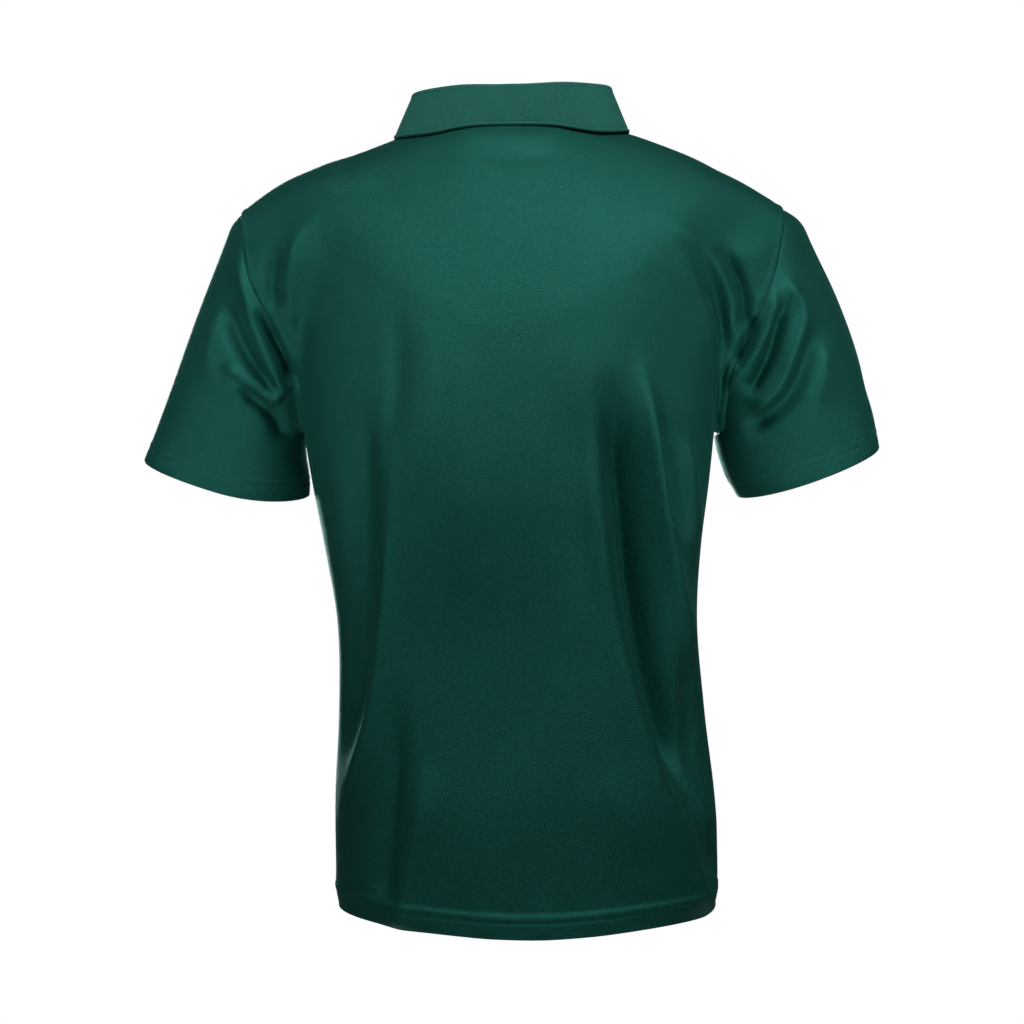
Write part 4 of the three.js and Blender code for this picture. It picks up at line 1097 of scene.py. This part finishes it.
def button(name, at, normal):
    radius = np.linspace(0, BUTTON["radius"], BUTTON_RINGS)
    turn = np.arange(BUTTON_ROUND) * 2 * np.pi / BUTTON_ROUND
    r, a = np.meshgrid(radius, turn, indexing="ij")
    x, y = r * np.cos(a), r * np.sin(a)
    rim, dish, soft = BUTTON["rim"], BUTTON["dish"], BUTTON["dish_edge"]
    low = rim * np.clip((r - BUTTON["radius"] + rim) / rim, 0, 1) ** 3
    top = BUTTON["thick"] - BUTTON["dish_depth"] * (1 - smooth(dish - soft, dish + soft, r)) - low
    starts, ends = (BUTTON["hole"] * share for share in BUTTON["hole_edge"])
    for sx in (-1, 1):
        for sy in (-1, 1):
            hole = np.hypot(x - sx * BUTTON["hole_from_middle"], y - sy * BUTTON["hole_from_middle"])
            top -= BUTTON["hole_depth"] * (1 - smooth(starts, ends, hole))
    across, up = frame_at(normal)
    plane = at + x[..., None] * across + y[..., None] * up
    outer, inner = plane + top[..., None] * normal, plane + low[..., None] * normal
    return wall(name, outer, inner, np.stack([x, y, r], axis=-1), around=True)


BUTTON_AT, BUTTON_OUT = button_places()
buttons = [button(f"button_{k + 1}_turned", BUTTON_AT[k], BUTTON_OUT[k]) for k in range(BUTTON["count"])]

# %% [markdown]
# ## Stitches
#
# A row of stitches repeats one shape along a path, which is work for a node tree: it walks each path in
# steps of the stitch length and sets a small rounded stitch at each step, turned along the path. The same
# tree sews hems, armholes, bands and buttonholes; only the paths and the three sizes differ.


# %% A shorter way to write node trees
class Wire:
    """A socket of a node tree that can be used in sums."""

    def __init__(self, tree, socket):
        self.tree, self.socket = tree, socket

    def math(self, operation, *others):
        node = self.tree.nodes.new("ShaderNodeMath")
        node.operation = operation
        for k, value in enumerate((self, *others)):
            feed(self.tree, node.inputs[k], value)
        return Wire(self.tree, node.outputs[0])

    def __add__(self, other):
        return self.math("ADD", other)

    def __sub__(self, other):
        return self.math("SUBTRACT", other)

    def __rsub__(self, other):
        return Wire(self.tree, feed_value(self.tree, other)).math("SUBTRACT", self)

    def __mul__(self, other):
        return self.math("MULTIPLY", other)

    __radd__, __rmul__ = __add__, __mul__


def feed_value(tree, number):
    node = tree.nodes.new("ShaderNodeValue")
    node.outputs[0].default_value = number
    return node.outputs[0]


def feed(tree, socket, value):
    if isinstance(value, Wire):
        tree.links.new(value.socket, socket)
    else:
        socket.default_value = value


class Tree:
    """A node tree to which nodes are added by one method: kind, settings, then inputs."""

    def __init__(self, tree):
        self.tree = tree
        tree.nodes.clear()

    def add(self, kind, settings=None, inputs=None, out=0):
        node = self.tree.nodes.new(kind)
        for name, value in (settings or {}).items():
            setattr(node, name, value)
        for name, value in (inputs or {}).items():
            feed(self.tree, node.inputs[name], value)
        return Wire(self.tree, node.outputs[out]) if node.outputs else node


# %% The sewing tree
def sewing_tree():
    group = bpy.data.node_groups.new("sewing", "GeometryNodeTree")
    kinds = {"Paths": "Geometry", "Pitch": "Float", "Length": "Float", "Thread": "Float",
             "Material": "Material"}
    sockets = {}
    for name, kind in kinds.items():
        socket = group.interface.new_socket(name, in_out="INPUT", socket_type=f"NodeSocket{kind}")
        sockets[name] = socket.identifier
    group.interface.new_socket("Stitches", in_out="OUTPUT", socket_type="NodeSocketGeometry")
    tree = Tree(group)
    start = group.nodes.new("NodeGroupInput")
    paths, pitch, length, thread, material = (Wire(group, start.outputs[k]) for k in range(5))
    curve = tree.add("GeometryNodeMeshToCurve", {}, {"Mesh": paths})
    walked = tree.add("GeometryNodeCurveToPoints", {"mode": "LENGTH"}, {"Curve": curve, "Length": pitch})
    tangent = Wire(group, walked.socket.node.outputs["Tangent"])
    turned = tree.add("FunctionNodeAlignRotationToVector", {"axis": "Z"}, {"Vector": tangent})
    ball = tree.add("GeometryNodeMeshUVSphere", {}, {"Segments": 6, "Rings": 4, "Radius": 0.5})
    size = tree.add("ShaderNodeCombineXYZ", {}, {"X": thread, "Y": thread, "Z": length})
    placed = tree.add("GeometryNodeInstanceOnPoints", {},
                      {"Points": walked, "Instance": ball, "Rotation": turned, "Scale": size})
    real = tree.add("GeometryNodeRealizeInstances", {}, {"Geometry": placed})
    soft = tree.add("GeometryNodeSetShadeSmooth", {}, {"Geometry": real})
    dressed = tree.add("GeometryNodeSetMaterial", {}, {"Geometry": soft, "Material": material})
    tree.add("NodeGroupOutput", {}, {"Stitches": dressed})
    return group, sockets


SEWING, SEWING_INPUTS = sewing_tree()


def sew(name, paths, material, pitch, length, thread):
    """A plain mesh of stitches along paths, each a row of points in millimetres."""
    mesh = bpy.data.meshes.new(name + "_paths")
    points, edges, start = [], [], 0
    for path in paths:
        points.append(path * MM)
        edges += [(start + k, start + k + 1) for k in range(len(path) - 1)]
        start += len(path)
    mesh.from_pydata(np.concatenate(points).tolist(), edges, [])
    guide = add_object(name + "_paths", mesh)
    modifier = guide.modifiers.new("sewing", "NODES")
    modifier.node_group = SEWING
    for key, value in (("Pitch", pitch), ("Length", length), ("Thread", thread)):
        modifier[SEWING_INPUTS[key]] = value * MM
    modifier[SEWING_INPUTS["Material"]] = material
    ready = guide.evaluated_get(bpy.context.evaluated_depsgraph_get())
    made = add_object(name, bpy.data.meshes.new_from_object(ready))
    bpy.data.objects.remove(guide)
    count_triangles(made)
    return made


# %% [markdown]
# ## Finishes
#
# The cloth is a fine smooth knit in one deep bluish green, with a satin gloss. Its yarn reflects in the
# colour of the cloth, so the finish is half metallic, and the gloss is broken up by a fine streaky grain in
# the colour and the roughness. Columns of loops a millimetre apart show only faintly. The collar is a
# matt rib. No picture is needed for any of it.

# %% Knit
KNIT_GREEN = (0.0046, 0.0475, 0.038)
COLLAR_GREEN = (0.011, 0.066, 0.052)
BUTTON_GREEN = (0.012, 0.075, 0.058)
SHEEN_GREEN = (0.16, 0.9, 0.74, 1)


def shaded(color, factor):
    return tuple(min(c * factor, 1) for c in color) + (1,)


KNIT = {"wale": 0.9, "course": 0.62, "ribs": 0.12, "relief": 0.6, "grain": 1.3, "sheen": 0.05,
        "roughness": 0.44, "gloss": 0.45, "own_gloss": 0.5}
COLLAR_KNIT = {"wale": 1.6, "course": 0.8, "ribs": 0.35, "relief": 0.6, "grain": 0.8, "sheen": 0.1,
               "roughness": 0.7, "gloss": 0.2, "own_gloss": 0}
LOOP_SHIFT = 1.6
STREAKS = {"stretch": 0.32, "scale": 900.0, "detail": 3.0, "height": 1.2, "dull": 0.4}
FUZZ = {"scale": 900.0, "detail": 2.0, "height": 1.0, "dull": 0.5}
BROAD = {"scale": 9.0, "detail": 3.0, "shade": 0.25}
TONES = (0.4, 1.6)
BUMP_DEPTH = 0.0006
SHEEN_ROUGHNESS = 0.42


def new_material(name):
    material = bpy.data.materials.new(name)
    material.use_nodes = True
    return material, Tree(material.node_tree)


def noise(tree, place, look):
    inputs = {"Vector": place, "Scale": look["scale"], "Detail": look["detail"]}
    return tree.add("ShaderNodeTexNoise", {}, inputs)


def tones(tree, factor, color, dark, light, settings=None):
    """Between a darker and a lighter tone of one colour."""
    inputs = {0: factor, 6: shaded(color, dark), 7: shaded(color, light)}
    return tree.add("ShaderNodeMix", {"data_type": "RGBA", **(settings or {})}, inputs, out=2)


def cloth_material(name, color, look):
    material, tree = new_material(name)
    cloth = tree.add("ShaderNodeAttribute", {"attribute_name": "cloth"}, out="Vector")
    split = tree.add("ShaderNodeSeparateXYZ", {}, {"Vector": cloth})
    across, rise = (Wire(tree.tree, split.socket.node.outputs[k]) for k in (0, 1))
    columns = (across * (2 * np.pi / (look["wale"] * MM))).math("SINE")
    loops = ((rise * (2 * np.pi / (look["course"] * MM))) + columns * LOOP_SHIFT).math("SINE")
    place = tree.add("ShaderNodeTexCoord", {}, out="Object")
    stretched = tree.add("ShaderNodeMapping", {}, {"Vector": cloth, "Scale": (STREAKS["stretch"], 1, 1)})
    streaks = noise(tree, stretched, STREAKS)
    fuzz, broad = noise(tree, place, FUZZ), noise(tree, place, BROAD)
    ribs, grain = look["ribs"], look["grain"]
    height = columns * ribs + loops * ribs + streaks * STREAKS["height"] + fuzz * FUZZ["height"]
    shade = (streaks - 0.5) * grain + (fuzz - 0.5) * grain + (broad - 0.5) * BROAD["shade"] + 0.5
    bump = {"Height": height, "Strength": look["relief"], "Distance": BUMP_DEPTH}
    dullness = (fuzz - 0.5) * FUZZ["dull"] + (streaks - 0.5) * STREAKS["dull"] + look["roughness"]
    shader = tree.add("ShaderNodeBsdfPrincipled", {}, {
        "Base Color": tones(tree, shade, color, *TONES, {"clamp_factor": True}),
        "Normal": tree.add("ShaderNodeBump", {}, bump),
        "Roughness": dullness,
        "Metallic": look["own_gloss"],
        "Specular IOR Level": look["gloss"],
        "Specular Tint": SHEEN_GREEN,
        "Sheen Weight": look["sheen"],
        "Sheen Roughness": SHEEN_ROUGHNESS,
        "Sheen Tint": SHEEN_GREEN,
    })
    tree.add("ShaderNodeOutputMaterial", {}, {"Surface": shader})
    return material


knit = cloth_material("knit", KNIT_GREEN, KNIT)
collar_knit = cloth_material("collar_knit", COLLAR_GREEN, COLLAR_KNIT)

PLASTIC = {"scale": 420.0, "detail": 3.0, "tones": (0.75, 1.3), "bump": 0.05, "bump_depth": 0.0002}
THREAD = {"scale": 2600.0, "detail": 2.0, "tones": (0.8, 1.5), "bump": 0.3, "bump_depth": 0.0001}
PLASTIC_DULLNESS = (0.12, 0.26)


def speckled(name, color, look, finish):
    """A plain colour with fine noise in its tone and relief; finish gives the other inputs from the noise."""
    material, tree = new_material(name)
    cloud = noise(tree, tree.add("ShaderNodeTexCoord", {}, out="Object"), look)
    bump = {"Height": cloud, "Strength": look["bump"], "Distance": look["bump_depth"]}
    shader = tree.add("ShaderNodeBsdfPrincipled", {}, {
        "Base Color": tones(tree, cloud, color, *look["tones"]),
        "Normal": tree.add("ShaderNodeBump", {}, bump),
        **finish(cloud),
    })
    tree.add("ShaderNodeOutputMaterial", {}, {"Surface": shader})
    return material


def plastic_finish(cloud):
    return {"Roughness": cloud * PLASTIC_DULLNESS[0] + PLASTIC_DULLNESS[1], "Specular IOR Level": 0.5}


def thread_finish(cloud):
    return {"Roughness": 0.5, "Specular IOR Level": 0.3, "Sheen Weight": 0.1, "Sheen Tint": SHEEN_GREEN}


thread = speckled("thread", KNIT_GREEN, THREAD, thread_finish)
button_plastic = speckled("button_plastic", BUTTON_GREEN, PLASTIC, plastic_finish)
for piece in (back, front, upper_band, lower_band, *sleeves.values()):
    piece.data.materials.append(knit)
collar.data.materials.append(collar_knit)
for piece in buttons:
    piece.data.materials.append(button_plastic)

# %% [markdown]
# ## Sewing the shirt
#
# Every path is read off the finished cloth, at a distance from its edge, so the stitches lie in the
# sunken rows that the cloth already has for them.

# %% Paths and stitches
STITCH = {"pitch": 2.9, "length": 2.3, "thread": 0.5}
BUTTON_THREAD = {"pitch": 0.35, "length": 0.7, "thread": 0.55}
THREAD_BAR = {"above": 0.1, "bow": 0.25, "dives": 0.7}
BUTTONHOLE = {"half_length": 7.6, "half_width": 0.9, "above": 0.15}
BUTTONHOLE_STITCH = {"pitch": 0.6, "length": 0.8, "thread": 0.7}


def level(grid, distance, wanted, axis=0):
    """The points of a grid where a distance has the wanted value, one for each line of the grid."""
    grid, distance = (np.moveaxis(g, axis, 0) for g in (grid, distance))
    made = np.zeros((grid.shape[1], 3))
    for i in range(grid.shape[1]):
        for k in range(3):
            made[i, k] = np.interp(wanted, distance[:, i], grid[:, i, k])
    return made


def body_paths(outer, form_grid):
    rise, across = arcs(form_grid, 0), arcs(form_grid, 1)
    rows = slice(SIDE_TOP, None)
    paths = [level(outer, rise, row) for row in HEM_ROWS]
    paths.append(level(outer[rows], across[rows], ALLOWANCE["reach"], axis=1))
    from_right = (across[:, -1:] - across)[rows, ::-1]
    paths.append(level(outer[rows, ::-1], from_right, ALLOWANCE["reach"], axis=1))
    return paths


def sleeve_paths(side):
    outer, _, cloth = SLEEVE_GRIDS[side]
    rise = cloth[..., 1]
    closed = [level(outer[::-1], rise[::-1], row) for row in HEM_ROWS]
    return [np.vstack([ring, ring[:1]]) for ring in closed]


def band_paths():
    edge, box = BAND_STITCH["edge"], BAND_STITCH["box"]
    across = arcs(BAND_OUTER, 1)
    rise = arcs(BAND_OUTER, 0)
    left = level(BAND_OUTER, across, edge, axis=1)
    right = level(BAND_OUTER[:, ::-1], (across[:, -1:] - across)[:, ::-1], edge, axis=1)
    inside = slice(2, -2)
    return [left[2:], right[2:], level(BAND_OUTER, rise, edge)[inside], level(BAND_OUTER, rise, box)[inside]]


def button_threads():
    """Two bars of thread over the middle of each button, from hole to hole."""
    paths = []
    for at, normal in zip(BUTTON_AT, BUTTON_OUT):
        across, up = frame_at(normal)
        top = at + normal * (BUTTON["thick"] - BUTTON["dish_depth"] + THREAD_BAR["above"])
        for side in (-1, 1):
            reach = np.linspace(-1, 1, 9)[:, None] * BUTTON["hole_from_middle"]
            bow = THREAD_BAR["bow"] - THREAD_BAR["dives"] * (reach / BUTTON["hole_from_middle"]) ** 4
            paths.append(top + side * BUTTON["hole_from_middle"] * across + reach * up + bow * normal)
    return paths


def buttonholes():
    """Upright buttonholes behind the buttons: a close oval of stitches on the upper band."""
    turn = np.linspace(0, 2 * np.pi, 33)
    paths = []
    for at, normal in zip(BUTTON_AT, BUTTON_OUT):
        across, up = frame_at(normal)
        seat = at - normal * (BUTTON["seat"] - BUTTONHOLE["above"])
        wide = np.cos(turn)[:, None] * BUTTONHOLE["half_width"] * across
        high = np.sin(turn)[:, None] * BUTTONHOLE["half_length"] * up
        paths.append(seat + (wide + high))
    return paths


SEWN = [
    ("buttons", button_threads(), BUTTON_THREAD),
    ("buttonholes", buttonholes(), BUTTONHOLE_STITCH),
    ("back", body_paths(BACK_OUTER, BACK_FORM), STITCH),
    ("front", body_paths(FRONT_OUTER, FRONT_FORM), STITCH),
    ("sleeve_left", sleeve_paths("left"), STITCH),
    ("sleeve_right", sleeve_paths("right"), STITCH),
    ("bands", band_paths(), STITCH),
]
stitches = [sew("stitches_" + name, paths, thread, **sizes) for name, paths, sizes in SEWN]

# %% [markdown]
# ## Light and floor
#
# Plain studio light: round soft boxes above the shirt on the camera's side make the shoulders brightest and
# let the light fall off towards the hem. Weak ones stand low and at the sides, two narrow ones bring up the
# sleeves, and one on the far side lights the front for views from there. The backdrop of the photograph is
# burnt out to white; here the world is white only where the camera looks at it, and very dim as a light.

# %% Light and floor
FLOOR = {"height": -1.45, "radius": 1.6, "sides": 96, "grain": 60.0, "greys": (0.78, 0.84), "roughness": 0.8}
# name, place, target, size, power in watts, spread in degrees
LIGHTS = [
    ("above_left", (0.5, 0.9, 0.85), (0.05, 0.0, -0.25), 0.5, 9, 180),
    ("above_right", (-0.6, 0.95, 0.9), (-0.05, 0.0, -0.25), 0.5, 9.5, 180),
    ("overhead", (-0.3, 0.8, 1.4), (-0.08, 0.0, -0.1), 0.5, 17, 180),
    ("near_top", (-0.2, 0.8, 0.6), (-0.08, 0.0, -0.1), 0.3, 1.5, 180),
    ("low_left", (1.6, 2.2, -0.3), (0.0, 0.0, -0.25), 0.8, 4, 180),
    ("side_left", (2.1, 0.5, 0.4), (0.0, 0.0, -0.25), 0.8, 3, 180),
    ("side_right", (-2.1, 0.5, 0.4), (0.0, 0.0, -0.25), 0.8, 4, 180),
    ("sleeve_left", (0.75, 1.0, -0.8), (0.32, 0.05, -0.22), 0.3, 0.5, 32),
    ("sleeve_right", (-0.75, 1.0, -0.8), (-0.32, 0.05, -0.22), 0.3, 0.5, 32),
    ("front", (0.4, -2.3, -0.15), (0.0, 0.0, -0.35), 1.4, 35, 180),
]
WORLD_LIGHT = 0.04


def soft_box(name, place, target, size, power, spread):
    data = bpy.data.lights.new(name, "AREA")
    data.shape = "DISK"
    data.size, data.energy, data.spread = size, power, np.radians(spread)
    lamp = add_object(name, data)
    lamp.location = place
    lamp.rotation_euler = (Vector(target) - Vector(place)).to_track_quat("-Z", "Y").to_euler()


def white_world():
    world = bpy.data.worlds.new("studio")
    world.use_nodes = True
    bpy.context.scene.world = world
    tree = Tree(world.node_tree)
    seen = tree.add("ShaderNodeLightPath", {}, {}, out="Is Camera Ray")
    shown = tree.add("ShaderNodeBackground", {}, {"Color": (1, 1, 1, 1), "Strength": 1.0})
    lit = tree.add("ShaderNodeBackground", {}, {"Color": (0.96, 0.98, 1, 1), "Strength": WORLD_LIGHT})
    both = tree.add("ShaderNodeMixShader", {}, {0: seen, 1: lit, 2: shown})
    tree.add("ShaderNodeOutputWorld", {}, {"Surface": both})


def floor_disc():
    turn = np.linspace(0, 2 * np.pi, FLOOR["sides"] + 1)[:-1]
    x, y = FLOOR["radius"] * np.cos(turn), FLOOR["radius"] * np.sin(turn)
    points = np.stack([x, y, 0 * turn + FLOOR["height"]], -1)
    mesh = bpy.data.meshes.new("floor")
    mesh.from_pydata(points.tolist(), [], [tuple(range(len(turn)))])
    made = add_object("floor", mesh)
    material, tree = new_material("floor_paper")
    grain = tree.add("ShaderNodeTexNoise", {}, {"Scale": FLOOR["grain"]})
    tone = tones(tree, grain, (1, 1, 1), *FLOOR["greys"])
    shader = tree.add("ShaderNodeBsdfPrincipled", {}, {"Base Color": tone, "Roughness": FLOOR["roughness"]})
    tree.add("ShaderNodeOutputMaterial", {}, {"Surface": shader})
    made.data.materials.append(material)
    return made


for row in LIGHTS:
    soft_box(*row)
white_world()
floor_disc()
bpy.context.scene.view_settings.view_transform = "Standard"

# %% [markdown]
# ## Cloth facts
#
# Each piece hides the solid that it stands for and hangs on the root body, and the size of its cut is
# printed: the rectangle that it is cut from and the piece's own area.


# %% Pieces and their cuts
def girth_and_length(grid):
    return float(arcs(grid, 1)[:, -1].max()), float(arcs(grid, 0)[-1].max())


def area_of(grid, keep=None):
    corner = grid[:-1, :-1]
    cells = np.linalg.norm(np.cross(grid[1:, :-1] - corner, grid[:-1, 1:] - corner), axis=-1)
    return float(cells.sum() if keep is None else cells[keep].sum())


def cut(piece, node, grid, area=None):
    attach(piece, "root")
    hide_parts(node)
    width, length = girth_and_length(grid)
    area = area_of(grid) if area is None else area
    min(area, width * length) * MM * MM
    print(f"{node}: {width:.0f} by {length:.0f} mm, {area / 100:.0f} square cm")


cut(back, "back", BACK_FORM)
cut(front, "front", FRONT_FORM, area_of(FRONT_FORM, front_cells))
for side in ("left", "right"):
    cut(sleeves[side], f"sleeve_{side}", round_trip(SLEEVE_GRIDS[side][0]))
cut(collar, "collar", COLLAR_GRID)
cut(upper_band, "placket_top", BAND_OUTER)
cut(lower_band, "placket_under", LOWER_OUTER)
for k, piece in enumerate(buttons):
    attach(piece, "root")
    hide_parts(f"button_{k + 1}")
for piece in stitches:
    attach(piece, "root")
